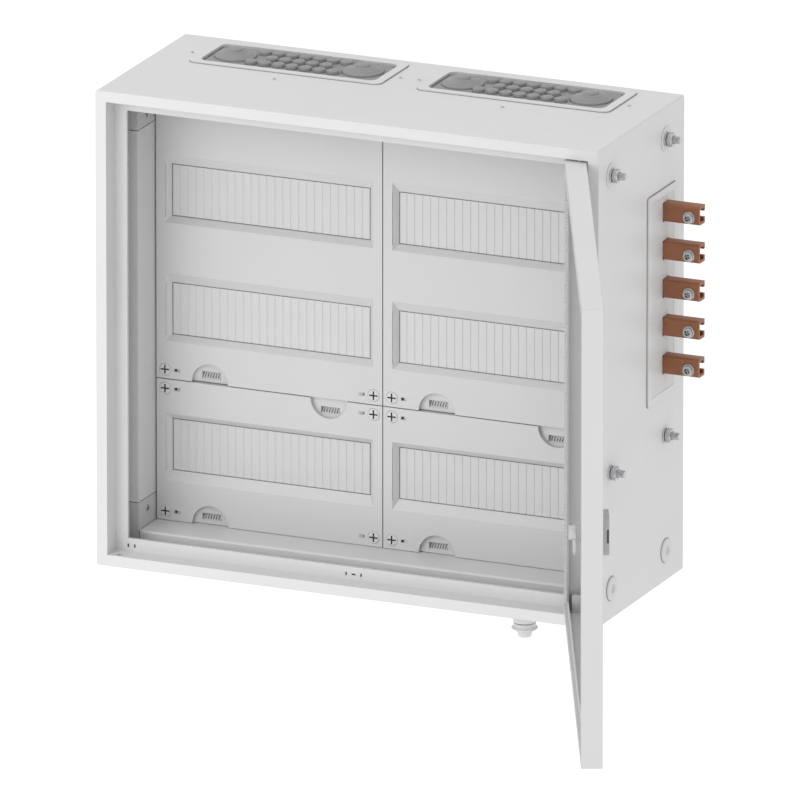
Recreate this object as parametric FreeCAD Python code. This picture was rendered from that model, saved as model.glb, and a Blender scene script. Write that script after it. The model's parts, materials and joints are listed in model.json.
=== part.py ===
import FreeCAD, Part
import math
import os

# Wall-mounted sheet-steel distribution cabinet, door standing open.
# Origin: centre of the four wall-fixing holes, on the rear outer face.
# +X to the right seen from the front, +Y into the wall, +Z up. Millimetres.
# "Deep" sizes below are measured backwards from the front plane.

# ---- enclosure ----
MODULE = 250.0           # width of one field of covers
TOP_ROWS = 300.0         # height of the upper covers
BOTTOM_ROWS = 150.0      # height of the lower covers
EDGE = 25.0              # from the covers to the outside
DEPTH = 220.0
SHEET = 1.5
EDGE_R = 2.5
BAND = 11.5              # flat band around the door
SEAT_DEEP = 22.0         # door seat, behind the front plane
SEAT_W = 13.0
LIP = 2.0
SEAT_SLOT_W = 1.8
SEAT_SLOT_H = 3.6
SEAT_SLOT_WIDE = 4.2
SEAT_SLOT_IN = 5.5       # from the wall of the rebate
SEAT_SLOT_MID = -1.7     # middle of the three slots at mid-width
SEAT_SLOT_PITCH = 8.2
SEAT_SLOT_END = (0.3, 7.5)   # two more, from the left end of the opening
FIX_IN = 50.0            # wall-fixing holes in from each side
FIX_R = 4.5

# ---- door and hinge ----
DOOR_OPEN = 115.0        # degrees, as modelled
HINGE_IN = 22.5          # hinge axis in from the side and behind the front
HINGE_DEEP = 6.0
DOOR_SHORT = 0.6         # flange edge to the seat when shut
DOOR_GAP_FREE = 2.5
DOOR_GAP_HINGE = 3.5
DOOR_GAP_END = 2.0
RETURN_W = 12.0
RETURN_SET = 3.0         # return fold, in from the flange edge
GASKET_W = 8.0
GASKET_GAP = 0.4
GASKET_EDGE = 2.5
GASKET_PAST_HINGE = 0.5
PIN_R = 3.0
PIN_RUN = 0.05
PIN_LEN = 24.0
PIN_COLLAR_R = 5.0
PIN_COLLAR_T = 2.0
SWING_GAP = 0.5          # hinge corner of the door to the seat as it swings
BUSH = 12.0
BUSH_H = 18.0

# ---- door lock ----
LOCK_IN = 25.0           # lock axis from the free edge
LOCK_H = 41.0
LOCK_W = 30.0
LOCK_PROUD = 6.5
LOCK_NOTCH_H = 14.0
LOCK_NOTCH_T = 2.6
LOCK_CORNER_R = 5.0
INSERT_R = 9.0
SHAFT_R = 5.0
SHAFT_END_R = 4.0
LOCK_RUN = 0.05
LOCK_BARREL_R = 10.0
CAM_BEHIND_LIP = 0.8
CAM_T = 2.7
CAM_LEN = 22.0
CAM_W = 12.0
CAM_HUB_R = 8.5
CAM_NUT_T = 4.0
CAM_NUT_AF = 13.0

# ---- inner frame ----
FRAME_DEEP = 50.0
FRAME_IN = 24.0          # inner face of the frame, from the outside
FRAME_FLANGE = 13.0
BRACKET_LEN = 28.5
BRACKET_T = 3.0
BRACKET_BACK = 60.0
BRACKET_TONGUE = 22.0
BRACKET_TONGUE_FROM = 45.0   # tongues start behind the front edge, out of sight
FRAME_FOLD_R = 2.5
BRACKET_SCREW_DEEP = 71.6
BRACKET_SCREW_UP = 17.5
CROSS_GAP = 1.0          # bracket cheek to the end of the cross channel
SIDE_GAP = 0.8           # bracket to the end of the side channel
PASSAGE = 10.0           # clearance around the busbars where they pass the channels
JOINT_GAP = 0.3

# ---- covers ----
COVER_DEEP = 92.0
COVER_GAP = 0.55
COVER_SPLIT = 0.5
COVER_T = 3.0
SKIRT = 12.0
SKIRT_T = 2.0
SLOT_W = 218.5           # clear opening at the strip
SLOT_H = 55.0
SLOT_FALL = 5.7          # strip set back behind the cover face
SLOT_SIDE = 5.25         # width of the bevels
SLOT_BIG = 10.5
SLOT_SMALL = 6.0
SLOT_RIM = 2.5
SLOT_STEP = 1.6          # sharp edge left and right of the strip
ROWS_TOP = (73.7, 198.7) # strip centres up from the foot of the upper cover
ROWS_BOTTOM = (80.0,)
STRIP_T = 2.5
STRIP_GAP = 0.5
STRIP_EDGE = 0.8         # chamfer around the strip's face
GROOVE_PITCH = 8.75
GROOVE_W = 1.6
GROOVE_T = 0.35
GRIP_R = 20.0
GRIP_T = 4.5
GRIP_WALL = 2.0
GRIP_SIDE = 59.5         # grip centre from the side of the field
GRIP_POCKET_W = 21.0     # ribbed pocket in the grip
GRIP_POCKET_H = 6.5
GRIP_POCKET_T = 5.0      # deeper than the grip
GRIP_POCKET_UP = 7.8     # its middle above the lowest point of the grip
GRIP_SILL_H = 1.5
GRIP_SILL_T = 2.0
GRIP_RIBS = 7
GRIP_RIB_W = 1.3
GRIP_RIB_PITCH = 2.9
GRIP_RIB_LEAN = 14.0     # degrees

# ---- quarter-turn cover locks ----
TURN_IN = 10.0
TURN_R = 6.25
TURN_GAP = 0.2
TURN_T = 3.5
TURN_PROUD = 0.5
TURN_BOSS_R = 9.0
TURN_BOSS = 7.0
TURN_STEM_R = 2.5
TURN_STEM_RUN = 0.1
TURN_STEM = 20.0
TURN_CROSS = 9.0
TURN_CROSS_W = 1.3
TURN_CROSS_T = 1.0
PEEP_H = 3.3             # sight window beside each lock
PEEP_LONG = 6.8
PEEP_FROM = 10.0         # its deep end, from the lock
PEEP_T = 4.0

# ---- rails and uprights ----
RAIL_W = 35.0
RAIL_BASE = 25.0
RAIL_H = 7.5
RAIL_SHEET = 1.0
RAIL_DEEP = 143.0
RAIL_END = 3.0
UPRIGHT_W = 16.0
UPRIGHT_T = 10.0
POST_R = 5.0
POST_BORE_R = 3.2
POST_BORE = 30.0
POST_GAP = 0.3

# ---- busbars through the right side ----
BARS = 5
BAR_PITCH = 40.0
BAR_MID_UP = 312.5       # middle bar above the foot of the cabinet
BAR_H = 19.5
BAR_D = 15.5
BAR_T = 3.0
BAR_SLOT = 6.5
BAR_R = 3.5
BAR_DEEP = 161.7
BAR_OUT = 41.0
BAR_START = 40.0
BAR_SCREW_IN = 11.0
BAR_SCREW_LOW = 2.0
BAR_HEAD_R = 6.4
BAR_HEAD = 4.6
BAR_SHANK_R = 2.5
BAR_SHANK = 12.0
SUPPORT_W = 22.0
SUPPORT_END = 8.0
SUPPORT_FINGER = 13.0
SUPPORTS_IN = (60.0, 150.0, 400.0)   # from the right side
BAR_GAP = 0.3

# ---- side flange ----
FLANGE_T = 1.8
FLANGE_MARGIN = 8.0
FLANGE_R = 3.0
WINDOW_DEEP = (133.0, 190.0)
WINDOW_UP = (204.7, 408.3)
INSULATOR_T = 2.0
INSULATOR_MARGIN = 6.0
INSULATOR_UNDER = 0.1
FIT_GAP = 0.2

# ---- coupling studs and plugs on the right side ----
STUD_R = 4.0             # free end, beyond the nut
STUD_NECK_R = 3.6
STUD_OUT = 15.5
STUD_Y = (33.0, 173.0)
STUD_UP = 155.5          # lower pair from the foot
STUD_DOWN = 33.5         # upper pair from the top
STUD_HEAD_AF = 13.0
STUD_HEAD = 5.0
STUD_HOLE_R = 4.2
NUT_AF = 13.0
NUT_T = 6.5
WASHER_R = 8.0
WASHER_T = 1.5
DISC_R = 13.0
DISC_T = 0.8
PLUG_R = 12.5
PLUG_HEAD = 2.0
PLUG_BODY_R = 10.0
PLUG_BODY = 6.0
PLUG_DIMPLE_R = 4.5
PLUG_DIMPLE = 1.0
PLUG_Y = (35.0, 175.0)
PLUG_UP = 33.2

# ---- cable entry plates on top ----
ENTRY_L = 211.0
ENTRY_W = 80.0
ENTRY_R = 8.0
ENTRY_T = 1.5
ENTRY_MARGIN_L = 9.0
ENTRY_MARGIN_W = 8.0
ENTRY_DEEP = 168.5
PAD_RISE = -0.5
PAD_T = 2.0
PAD_MARGIN = 4.0
CONE_OUT = 70.0
CONE_RINGS = ((21.5, 3.5), (15.0, 2.0), (10.5, 1.6), (6.5, 1.5))
GROMMET_R = 6.0
GROMMET_H = 2.2
GROMMET_PITCH = 15.0
GROMMET_ROW = 18.0
GROMMETS = (7, 5, 7)
SCREW_R = 3.5
SCREW_HEAD = 1.6
SCREW_SHANK_R = 1.7
SCREW_SHANK = 3.0
TOP_SCREW_R = 2.2
TOP_SCREW_HEAD = 0.8
TOP_SCREW_SIDE = 114.75
TOP_SCREW_DEEP = 161.0
TOP_SCREW_FRONT_DEEP = 106.0

# ---- cable gland under the cabinet ----
GLAND_IN = 96.6          # from the right side
GLAND_DEEP = 40.0
GLAND_BODY_R = 12.0
GLAND_BODY = 17.0
GLAND_RING_R = 13.6
GLAND_RING = 5.5
GLAND_NECK_R = 8.0
GLAND_NECK = 7.9
GLAND_BORE_R = 5.0
GLAND_THREAD_R = 8.0
GLAND_HOLE_R = 8.2
GLAND_THREAD = 10.0
GLAND_NUT_AF = 24.0
GLAND_NUT_T = 5.0

# ---- worked out ----
WIDTH = 2 * MODULE + 2 * EDGE
HEIGHT = TOP_ROWS + BOTTOM_ROWS + 2 * EDGE
HALF_W = WIDTH / 2
HALF_H = HEIGHT / 2
FRONT = -DEPTH
FOOT = -HALF_H
PIVOT_X = HALF_W - HINGE_IN
PIVOT_Y = FRONT + HINGE_DEEP
DOOR_LEFT = -HALF_W + BAND + DOOR_GAP_FREE
DOOR_RIGHT = HALF_W - BAND - DOOR_GAP_HINGE
DOOR_T = SEAT_DEEP - DOOR_SHORT
DOOR_HALF_H = HALF_H - BAND - DOOR_GAP_END
LOCK_X = DOOR_LEFT + LOCK_IN
CAM_Y = FRONT + SEAT_DEEP + SHEET + LIP + CAM_BEHIND_LIP
SEAT_IN = BAND + SEAT_W
COVER_Y = FRONT + COVER_DEEP
RAIL_Y = FRONT + RAIL_DEEP
UPRIGHT_Y = RAIL_Y + RAIL_H
FIELDS = {"left": -MODULE, "right": 0.0}
COVER_ROWS = {"upper": (FOOT + EDGE + BOTTOM_ROWS, TOP_ROWS), "lower": (FOOT + EDGE, BOTTOM_ROWS)}
BAR_Z = [FOOT + BAR_MID_UP + BAR_PITCH * (i - (BARS - 1) / 2) for i in range(BARS)]
ENTRIES = (-MODULE / 2, MODULE / 2)


def box(x0, x1, y0, y1, z0, z1):
    return Part.makeBox(x1 - x0, y1 - y0, z1 - z0, FreeCAD.Vector(x0, y0, z0))


def aim(shape, axis, x, y, z):
    """Turn a shape drawn along +Z to run along an axis, then move its foot to x, y, z."""
    turned = shape.copy()
    if axis == "x":
        turned.rotate(FreeCAD.Vector(), FreeCAD.Vector(1, 1, 1), 120)
    if axis == "y":
        turned.rotate(FreeCAD.Vector(), FreeCAD.Vector(-1, -1, -1), 120)
    turned.translate(FreeCAD.Vector(x, y, z))
    return turned


def rod(axis, r, length, x, y, z):
    return aim(Part.makeCylinder(r, length), axis, x, y, z)


def tube(axis, r, bore, length, x, y, z):
    return aim(Part.makeCylinder(r, length).cut(Part.makeCylinder(bore, length)), axis, x, y, z)


def hexagon(axis, across, length, x, y, z):
    r = across / math.sqrt(3)
    points = [FreeCAD.Vector(r * math.cos(i * math.pi / 3), r * math.sin(i * math.pi / 3), 0) for i in range(7)]
    return aim(Part.Face(Part.makePolygon(points)).extrude(FreeCAD.Vector(0, 0, length)), axis, x, y, z)


def rounded(axis, u, v, r, length, x, y, z):
    """Prism of a rounded rectangle u by v; along x u lies on Y, along y u lies on Z, along z u lies on X."""
    a, b = u / 2, v / 2
    block = Part.makeBox(u, v, length, FreeCAD.Vector(-a, -b, 0))
    upright = [e for e in block.Edges if abs(e.BoundBox.ZLength - length) < 1e-6]
    return aim(block.makeFillet(r, upright), axis, x, y, z)


def fuse(shapes):
    shapes = list(shapes)
    if len(shapes) == 1:
        return shapes[0]
    return shapes[0].multiFuse(shapes[1:]).removeSplitter()


def ring(half_x, half_z, wall, y0, y1):
    """Rectangular ring around the Y axis: outer half sizes and wall width."""
    outer = box(-half_x, half_x, y0, y1, -half_z, half_z)
    return outer.cut(box(-half_x + wall, half_x - wall, y0, y1, -half_z + wall, half_z - wall))


def mirror_x(shape):
    return shape.mirror(FreeCAD.Vector(), FreeCAD.Vector(1, 0, 0))


def mirror_z(shape):
    return shape.mirror(FreeCAD.Vector(), FreeCAD.Vector(0, 0, 1))


def opened(shape):
    """Swing a piece drawn on the closed door to the open position."""
    swung = shape.copy()
    swung.rotate(FreeCAD.Vector(PIVOT_X, PIVOT_Y, 0), FreeCAD.Vector(0, 0, 1), DOOR_OPEN)
    return swung


def save(node, shapes):
    shapes = list(shapes)
    shape = shapes[0] if len(shapes) == 1 else Part.makeCompound(shapes)
    shape.exportStep(os.path.join("parts", node + ".step"))


# ---- enclosure ----

def coupling_points():
    return [(FRONT + y, z) for y in STUD_Y for z in (FOOT + STUD_UP, HALF_H - STUD_DOWN)]


def plug_points():
    return [(FRONT + y, FOOT + PLUG_UP) for y in PLUG_Y]


def side_window(x0, x1, grow):
    return box(x0, x1, FRONT + WINDOW_DEEP[0] - grow, FRONT + WINDOW_DEEP[1] + grow,
               FOOT + WINDOW_UP[0] - grow, FOOT + WINDOW_UP[1] + grow)


def entry_window(x, z0, z1, grow):
    return rounded("z", ENTRY_L - 2 * ENTRY_MARGIN_L + 2 * grow, ENTRY_W - 2 * ENTRY_MARGIN_W + 2 * grow,
                   ENTRY_R, z1 - z0, x, FRONT + ENTRY_DEEP, z0)


def gland_place():
    return HALF_W - GLAND_IN, FRONT + GLAND_DEEP


def top_screw_points():
    for x in ENTRIES:
        yield x - TOP_SCREW_SIDE, FRONT + TOP_SCREW_DEEP
        yield x + TOP_SCREW_SIDE, FRONT + TOP_SCREW_DEEP
        yield x, FRONT + TOP_SCREW_FRONT_DEEP


def mitre_wedges():
    """Four prisms that split the shell into mitred side panels: left, right, bottom, top."""
    inner = HALF_W - HALF_H
    left = [(-HALF_W, -HALF_H), (-HALF_W, HALF_H), (-inner, 0)]
    bottom = [(-HALF_W, -HALF_H), (-inner, 0), (inner, 0), (HALF_W, -HALF_H)]
    wedges = []
    for outline in (left, bottom):
        points = [FreeCAD.Vector(x, FRONT, z) for x, z in outline + outline[:1]]
        wedges.append(Part.Face(Part.makePolygon(points)).extrude(FreeCAD.Vector(0, DEPTH, 0)))
    return [wedges[0], mirror_x(wedges[0]), wedges[1], mirror_z(wedges[1])]


def enclosure_shell():
    """Folded side panels, each with its strip of the front band, welded at the mitres."""
    outer = rounded("y", HEIGHT, WIDTH, EDGE_R, DEPTH, 0, FRONT, 0)
    hollow = box(-HALF_W + SHEET, HALF_W - SHEET, FRONT + SHEET, 0, -HALF_H + SHEET, HALF_H - SHEET)
    mouth = box(-HALF_W + BAND, HALF_W - BAND, FRONT, FRONT + SHEET, -HALF_H + BAND, HALF_H - BAND)
    cuts = [hollow, mouth, side_window(HALF_W - SHEET, HALF_W, 0)]
    cuts += [rod("x", STUD_HOLE_R, SHEET, HALF_W - SHEET, y, z) for y, z in coupling_points()]
    cuts += [rod("x", PLUG_BODY_R + FIT_GAP, SHEET, HALF_W - SHEET, y, z) for y, z in plug_points()]
    cuts += [entry_window(x, HALF_H - SHEET, HALF_H, 0) for x in ENTRIES]
    cuts += [rod("z", SCREW_SHANK_R, SHEET, x, y, HALF_H - SHEET) for x, y in top_screw_points()]
    cuts.append(rod("z", GLAND_HOLE_R, SHEET, *gland_place(), FOOT))
    whole = outer.cut(cuts)
    return [whole.common(wedge) for wedge in mitre_wedges()]


def rear_wall():
    plate = box(-HALF_W + SHEET, HALF_W - SHEET, -SHEET, 0, -HALF_H + SHEET, HALF_H - SHEET)
    return plate.cut([rod("y", FIX_R, SHEET, sx * (HALF_W - FIX_IN), -SHEET, sz * (HALF_H - FIX_IN))
                      for sx in (-1, 1) for sz in (-1, 1)])


def seat_slots(y0, y1):
    """Small slots in the lower seat: three at mid-width and two near the left end; the upper seat mirrors them."""
    z = -(HALF_H - BAND - SEAT_SLOT_IN)
    places = [(SEAT_SLOT_MID, SEAT_SLOT_WIDE, SEAT_SLOT_W)]
    places += [(SEAT_SLOT_MID + side * SEAT_SLOT_PITCH, SEAT_SLOT_W, SEAT_SLOT_H) for side in (-1, 1)]
    end = -HALF_W + SEAT_IN
    places += [(end + reach, SEAT_SLOT_W, SEAT_SLOT_H) for reach in SEAT_SLOT_END]
    slots = [box(x - w / 2, x + w / 2, y0, y1, z - h / 2, z + h / 2) for x, w, h in places]
    return slots + [mirror_z(slot) for slot in slots]


def door_seat_frame():
    """Rebate that the door closes into, mitred at the corners like the shell."""
    back = FRONT + SEAT_DEEP
    wall = ring(HALF_W - BAND + SHEET, HALF_H - BAND + SHEET, SHEET, FRONT + SHEET, back + SHEET)
    seat = ring(HALF_W - BAND, HALF_H - BAND, SEAT_W, back, back + SHEET)
    lip = ring(HALF_W - SEAT_IN + SHEET, HALF_H - SEAT_IN + SHEET, SHEET, back + SHEET, back + SHEET + LIP)
    holes = [rod("z", PIN_R + PIN_RUN, SHEET, side * PIVOT_X, PIVOT_Y, z)
             for side in (-1, 1) for z in (HALF_H - BAND, -HALF_H + BAND - SHEET)]
    whole = fuse([wall, seat, lip]).cut(holes + seat_slots(back, back + SHEET))
    return [whole.common(wedge) for wedge in mitre_wedges()]


def enclosure():
    save("enclosure_shell", enclosure_shell())
    save("rear_wall", [rear_wall()])
    save("door_seat_frame", door_seat_frame())


# ---- door ----

def door_panel():
    y1 = FRONT + DOOR_T
    tray = box(DOOR_LEFT, DOOR_RIGHT, FRONT, y1, -DOOR_HALF_H, DOOR_HALF_H)
    inside = box(DOOR_LEFT + SHEET, DOOR_RIGHT - SHEET, FRONT + SHEET, y1,
                 -DOOR_HALF_H + SHEET, DOOR_HALF_H - SHEET)
    fold = box(DOOR_LEFT + SHEET, DOOR_RIGHT - SHEET, y1 - RETURN_SET - SHEET, y1 - RETURN_SET,
               -DOOR_HALF_H + SHEET, DOOR_HALF_H - SHEET)
    reach = SHEET + RETURN_W
    fold = fold.cut(box(DOOR_LEFT + reach, DOOR_RIGHT - reach, FRONT, y1, -DOOR_HALF_H + reach, DOOR_HALF_H - reach))
    reach_r = SEAT_DEEP - HINGE_DEEP - SWING_GAP
    corner = box(PIVOT_X, DOOR_RIGHT, PIVOT_Y, y1, -DOOR_HALF_H, DOOR_HALF_H)
    corner = corner.cut(rod("z", reach_r, 2 * DOOR_HALF_H, PIVOT_X, PIVOT_Y, -DOOR_HALF_H))
    shaft = rod("y", LOCK_BARREL_R, SHEET, LOCK_X, FRONT, 0)
    pins = rod("z", PIN_R + PIN_RUN, 2 * DOOR_HALF_H, PIVOT_X, PIVOT_Y, -DOOR_HALF_H)
    return fuse([tray.cut(inside), fold]).cut([corner, shaft, pins])


def door_gasket():
    y1 = FRONT + SEAT_DEEP - GASKET_GAP
    y0 = FRONT + DOOR_T - RETURN_SET
    right = PIVOT_X + GASKET_PAST_HINGE
    left = DOOR_LEFT + GASKET_EDGE
    half_z = DOOR_HALF_H - GASKET_EDGE
    outer = box(left, right, y0, y1, -half_z, half_z)
    return outer.cut(box(left + GASKET_W, right - GASKET_W, y0, y1, -half_z + GASKET_W, half_z - GASKET_W))


def hinge_bushes():
    top = DOOR_HALF_H - SHEET
    block = box(PIVOT_X - BUSH / 2, DOOR_RIGHT - SHEET, FRONT + SHEET, FRONT + SHEET + BUSH, top - BUSH_H, top)
    block = block.cut(rod("z", PIN_R + PIN_RUN, BUSH_H, PIVOT_X, PIVOT_Y, top - BUSH_H))
    return [block, mirror_z(block)]


def hinge_pins():
    top = HALF_H - BAND + SHEET + PIN_COLLAR_T
    pin = rod("z", PIN_R, PIN_LEN, PIVOT_X, PIVOT_Y, top - PIN_LEN)
    collar = rod("z", PIN_COLLAR_R, PIN_COLLAR_T, PIVOT_X, PIVOT_Y, top - PIN_COLLAR_T)
    # the collar is trimmed where it would meet the band
    collar = collar.cut(box(-HALF_W, HALF_W, FRONT, FRONT + SHEET, -HALF_H, HALF_H))
    whole = fuse([pin, collar])
    return [whole, mirror_z(whole)]


def lock_housing():
    face = rounded("y", LOCK_H, LOCK_W, LOCK_CORNER_R, LOCK_PROUD, LOCK_X, FRONT - LOCK_PROUD, 0)
    notch = box(LOCK_X - LOCK_W, LOCK_X + LOCK_W, FRONT - LOCK_PROUD, FRONT - LOCK_PROUD + LOCK_NOTCH_T,
                -LOCK_NOTCH_H / 2, LOCK_NOTCH_H / 2)
    pocket = rod("y", INSERT_R + LOCK_RUN, LOCK_PROUD, LOCK_X, FRONT - LOCK_PROUD, 0)
    barrel = tube("y", LOCK_BARREL_R, SHAFT_R + LOCK_RUN, CAM_Y - JOINT_GAP - FRONT, LOCK_X, FRONT, 0)
    return fuse([face.cut([notch, pocket]), barrel])


def lock_insert():
    head_y = FRONT - LOCK_PROUD + LOCK_NOTCH_T
    head = rod("y", INSERT_R, FRONT - head_y, LOCK_X, head_y, 0)
    key = box(LOCK_X - SHAFT_R, LOCK_X + SHAFT_R, head_y, head_y + SHEET, -SHEET, SHEET)
    shaft = rod("y", SHAFT_R, CAM_Y - FRONT, LOCK_X, FRONT, 0)
    end = rod("y", SHAFT_END_R, CAM_T + CAM_NUT_T, LOCK_X, CAM_Y, 0)
    return fuse([head.cut(key), shaft, end])


def lock_cam():
    hub = rod("y", CAM_HUB_R, CAM_T, LOCK_X, CAM_Y, 0)
    straight = CAM_LEN - CAM_W / 2
    arm = box(LOCK_X - CAM_W / 2, LOCK_X + CAM_W / 2, CAM_Y, CAM_Y + CAM_T, -straight, 0)
    tip = rod("y", CAM_W / 2, CAM_T, LOCK_X, CAM_Y, -straight)
    return fuse([hub, arm, tip]).cut(rod("y", SHAFT_END_R + LOCK_RUN, CAM_T, LOCK_X, CAM_Y, 0))


def cam_nut():
    y = CAM_Y + CAM_T
    nut = hexagon("y", CAM_NUT_AF, CAM_NUT_T, LOCK_X, y, 0)
    return nut.cut(rod("y", SHAFT_END_R + LOCK_RUN, CAM_NUT_T, LOCK_X, y, 0))


def door():
    save("door_panel", [opened(door_panel())])
    save("door_gasket", [opened(door_gasket())])
    save("hinge_bushes", [opened(s) for s in hinge_bushes()])
    save("hinge_pins", hinge_pins())
    save("lock_housing", [opened(lock_housing())])
    save("lock_insert", [opened(lock_insert())])
    save("lock_cam", [opened(lock_cam())])
    save("lock_cam_nut", [opened(cam_nut())])


# ---- inner frame ----

def side_profile():
    """Left upright channel between the corner brackets."""
    x1 = -HALF_W + FRAME_IN
    y0 = FRONT + FRAME_DEEP
    half = HALF_H - EDGE - BRACKET_LEN - SIDE_GAP
    web = box(x1 - SHEET, x1, y0, -SHEET, -half, half)
    front = box(x1 - FRAME_FLANGE, x1, y0, y0 + SHEET, -half, half)
    rear = box(x1 - FRAME_FLANGE, x1, -2 * SHEET, -SHEET, -half, half)
    bars = FRONT + BAR_DEEP
    passage = box(x1 - SHEET, x1, bars - PASSAGE, bars + BAR_D + PASSAGE,
                  BAR_Z[0] - BAR_H / 2 - PASSAGE, BAR_Z[-1] + BAR_H / 2 + PASSAGE)
    return fuse([web, front, rear]).cut(passage)


def cross_profile():
    """Bottom channel, the shelf under the covers."""
    z1 = FOOT + EDGE
    y0 = FRONT + FRAME_DEEP
    half = HALF_W - FRAME_IN - CROSS_GAP
    web = box(-half, half, y0, -SHEET, z1 - SHEET, z1)
    front = box(-half, half, y0, y0 + SHEET, z1 - FRAME_FLANGE, z1)
    rear = box(-half, half, -2 * SHEET, -SHEET, z1 - FRAME_FLANGE, z1)
    channel = fuse([web, front, rear])
    fold = [e for e in channel.Edges if e.BoundBox.YMax < y0 + 1e-6 and e.BoundBox.ZMin > z1 - 1e-6]
    return channel.makeFillet(FRAME_FOLD_R, fold)


def corner_bracket():
    """Bottom left corner piece, joined to both channels by tongues behind their webs."""
    x1 = -HALF_W + FRAME_IN
    y0 = FRONT + FRAME_DEEP
    z0 = FOOT + EDGE
    z1 = z0 + BRACKET_LEN
    cheek = box(x1 - BRACKET_T, x1, y0, y0 + BRACKET_BACK, z0 - FRAME_FLANGE, z1)
    front = box(x1 - FRAME_FLANGE, x1, y0, y0 + BRACKET_T, z0 - FRAME_FLANGE, z1)
    tongue, back = y0 + BRACKET_TONGUE_FROM, y0 + BRACKET_BACK
    up = box(x1 - BRACKET_T - SHEET, x1 - SHEET - JOINT_GAP, tongue, back, z0, z1 + BRACKET_TONGUE)
    along = box(x1 - SHEET, x1 + BRACKET_TONGUE, tongue, back, z0 - SHEET - BRACKET_T, z0 - SHEET - JOINT_GAP)
    return fuse([cheek, front, up, along])


def bracket_screw():
    x1 = -HALF_W + FRAME_IN
    y = FRONT + BRACKET_SCREW_DEEP
    z = FOOT + EDGE + BRACKET_SCREW_UP
    return rod("x", SCREW_R, SCREW_HEAD / 2, x1, y, z)


def four_corners(shape):
    pair = [shape, mirror_x(shape)]
    return pair + [mirror_z(s) for s in pair]


def top_screw(x, y):
    head = rod("z", TOP_SCREW_R, TOP_SCREW_HEAD, x, y, HALF_H)
    return fuse([head, rod("z", SCREW_SHANK_R, SCREW_SHANK, x, y, HALF_H - SCREW_SHANK)])


def inner_frame():
    left = side_profile()
    save("side_profiles", [left, mirror_x(left)])
    bottom = cross_profile()
    save("cross_profiles", [bottom, mirror_z(bottom)])
    save("corner_brackets", four_corners(corner_bracket()))
    save("case_screws", four_corners(bracket_screw()) + [top_screw(x, y) for x, y in top_screw_points()])


# ---- rails, uprights and cover posts ----

def strip_centres(row):
    foot, tall = COVER_ROWS[row]
    ups = ROWS_TOP if row == "upper" else ROWS_BOTTOM
    return [foot + up for up in ups]


def turn_points(row, field):
    foot, tall = COVER_ROWS[row]
    x0 = FIELDS[field]
    return {(h, v): (x0 + dx, foot + dz)
            for h, dx in (("left", TURN_IN), ("right", MODULE - TURN_IN))
            for v, dz in (("top", tall - TURN_IN), ("bottom", TURN_IN))}


def hat_rail(x0, z):
    """Top-hat rail along X: two front flanges, two webs and a base."""
    length = MODULE - 2 * RAIL_END
    x0 = x0 + RAIL_END
    y0, y1 = RAIL_Y, RAIL_Y + RAIL_H
    outer = box(x0, x0 + length, y0, y1, z - RAIL_BASE / 2 - RAIL_SHEET, z + RAIL_BASE / 2 + RAIL_SHEET)
    outer = outer.cut(box(x0, x0 + length, y0, y1 - RAIL_SHEET, z - RAIL_BASE / 2, z + RAIL_BASE / 2))
    below = box(x0, x0 + length, y0, y0 + RAIL_SHEET, z - RAIL_W / 2, z - RAIL_BASE / 2)
    above = box(x0, x0 + length, y0, y0 + RAIL_SHEET, z + RAIL_BASE / 2, z + RAIL_W / 2)
    return fuse([outer, below, above])


def upright(x):
    foot, head = FOOT + EDGE, HALF_H - EDGE
    y0, y1 = UPRIGHT_Y, UPRIGHT_Y + UPRIGHT_T
    a = UPRIGHT_W / 2
    channel = box(x - a, x + a, y0, y1, foot, head)
    return channel.cut(box(x - a + SHEET, x + a - SHEET, y0 + SHEET, y1, foot, head))


def cover_post(x, z):
    y0 = COVER_Y + TURN_BOSS + POST_GAP
    post = rod("y", POST_R, UPRIGHT_Y - y0, x, y0, z)
    return post.cut(rod("y", POST_BORE_R, POST_BORE, x, y0, z))


def mounting():
    save("din_rails", [hat_rail(x0, z) for x0 in FIELDS.values() for row in COVER_ROWS for z in strip_centres(row)])
    save("rail_uprights", [upright(x0 + dx) for x0 in FIELDS.values() for dx in (TURN_IN, MODULE - TURN_IN)])
    save("cover_posts", [cover_post(x, z) for row in COVER_ROWS for field in FIELDS
                         for x, z in turn_points(row, field).values()])


# ---- covers, blanking strips and their locks ----

def funnel(x, z, flip):
    """The bevelled mouth of a slot, cut from the cover face down to the strip."""
    above, below = (SLOT_SMALL, SLOT_BIG) if flip else (SLOT_BIG, SLOT_SMALL)
    a, h = SLOT_W / 2, SLOT_H / 2

    def frame(y, side, up, down):
        corners = [(x - a - side, z - h - down), (x + a + side, z - h - down),
                   (x + a + side, z + h + up), (x - a - side, z + h + up)]
        points = [FreeCAD.Vector(px, y, pz) for px, pz in corners]
        return Part.makePolygon(points + points[:1])

    wide = frame(COVER_Y, SLOT_SIDE, above, below)
    narrow = frame(COVER_Y + SLOT_FALL, 0, 0, 0)
    return Part.makeLoft([wide, narrow], True, True)


def slot_steps(x, z):
    """Sharp side edges of the mouth, as tall as the strip."""
    a, h = SLOT_W / 2, SLOT_H / 2
    left = box(x - a - SLOT_SIDE, x - a, COVER_Y, COVER_Y + SLOT_STEP, z - h, z + h)
    right = box(x + a, x + a + SLOT_SIDE, COVER_Y, COVER_Y + SLOT_STEP, z - h, z + h)
    return [left, right]


def slot_body(x, z, flip):
    above, below = (SLOT_SMALL, SLOT_BIG) if flip else (SLOT_BIG, SLOT_SMALL)
    a, h = SLOT_W / 2 + SLOT_SIDE + SLOT_RIM, SLOT_H / 2 + SLOT_RIM
    back = COVER_Y + SLOT_FALL + STRIP_T
    return box(x - a, x + a, COVER_Y, back, z - h - below, z + h + above)


def slot_clear(x, z):
    a, h = SLOT_W / 2, SLOT_H / 2
    return box(x - a, x + a, COVER_Y, COVER_Y + SLOT_FALL + STRIP_T, z - h, z + h)


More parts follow.
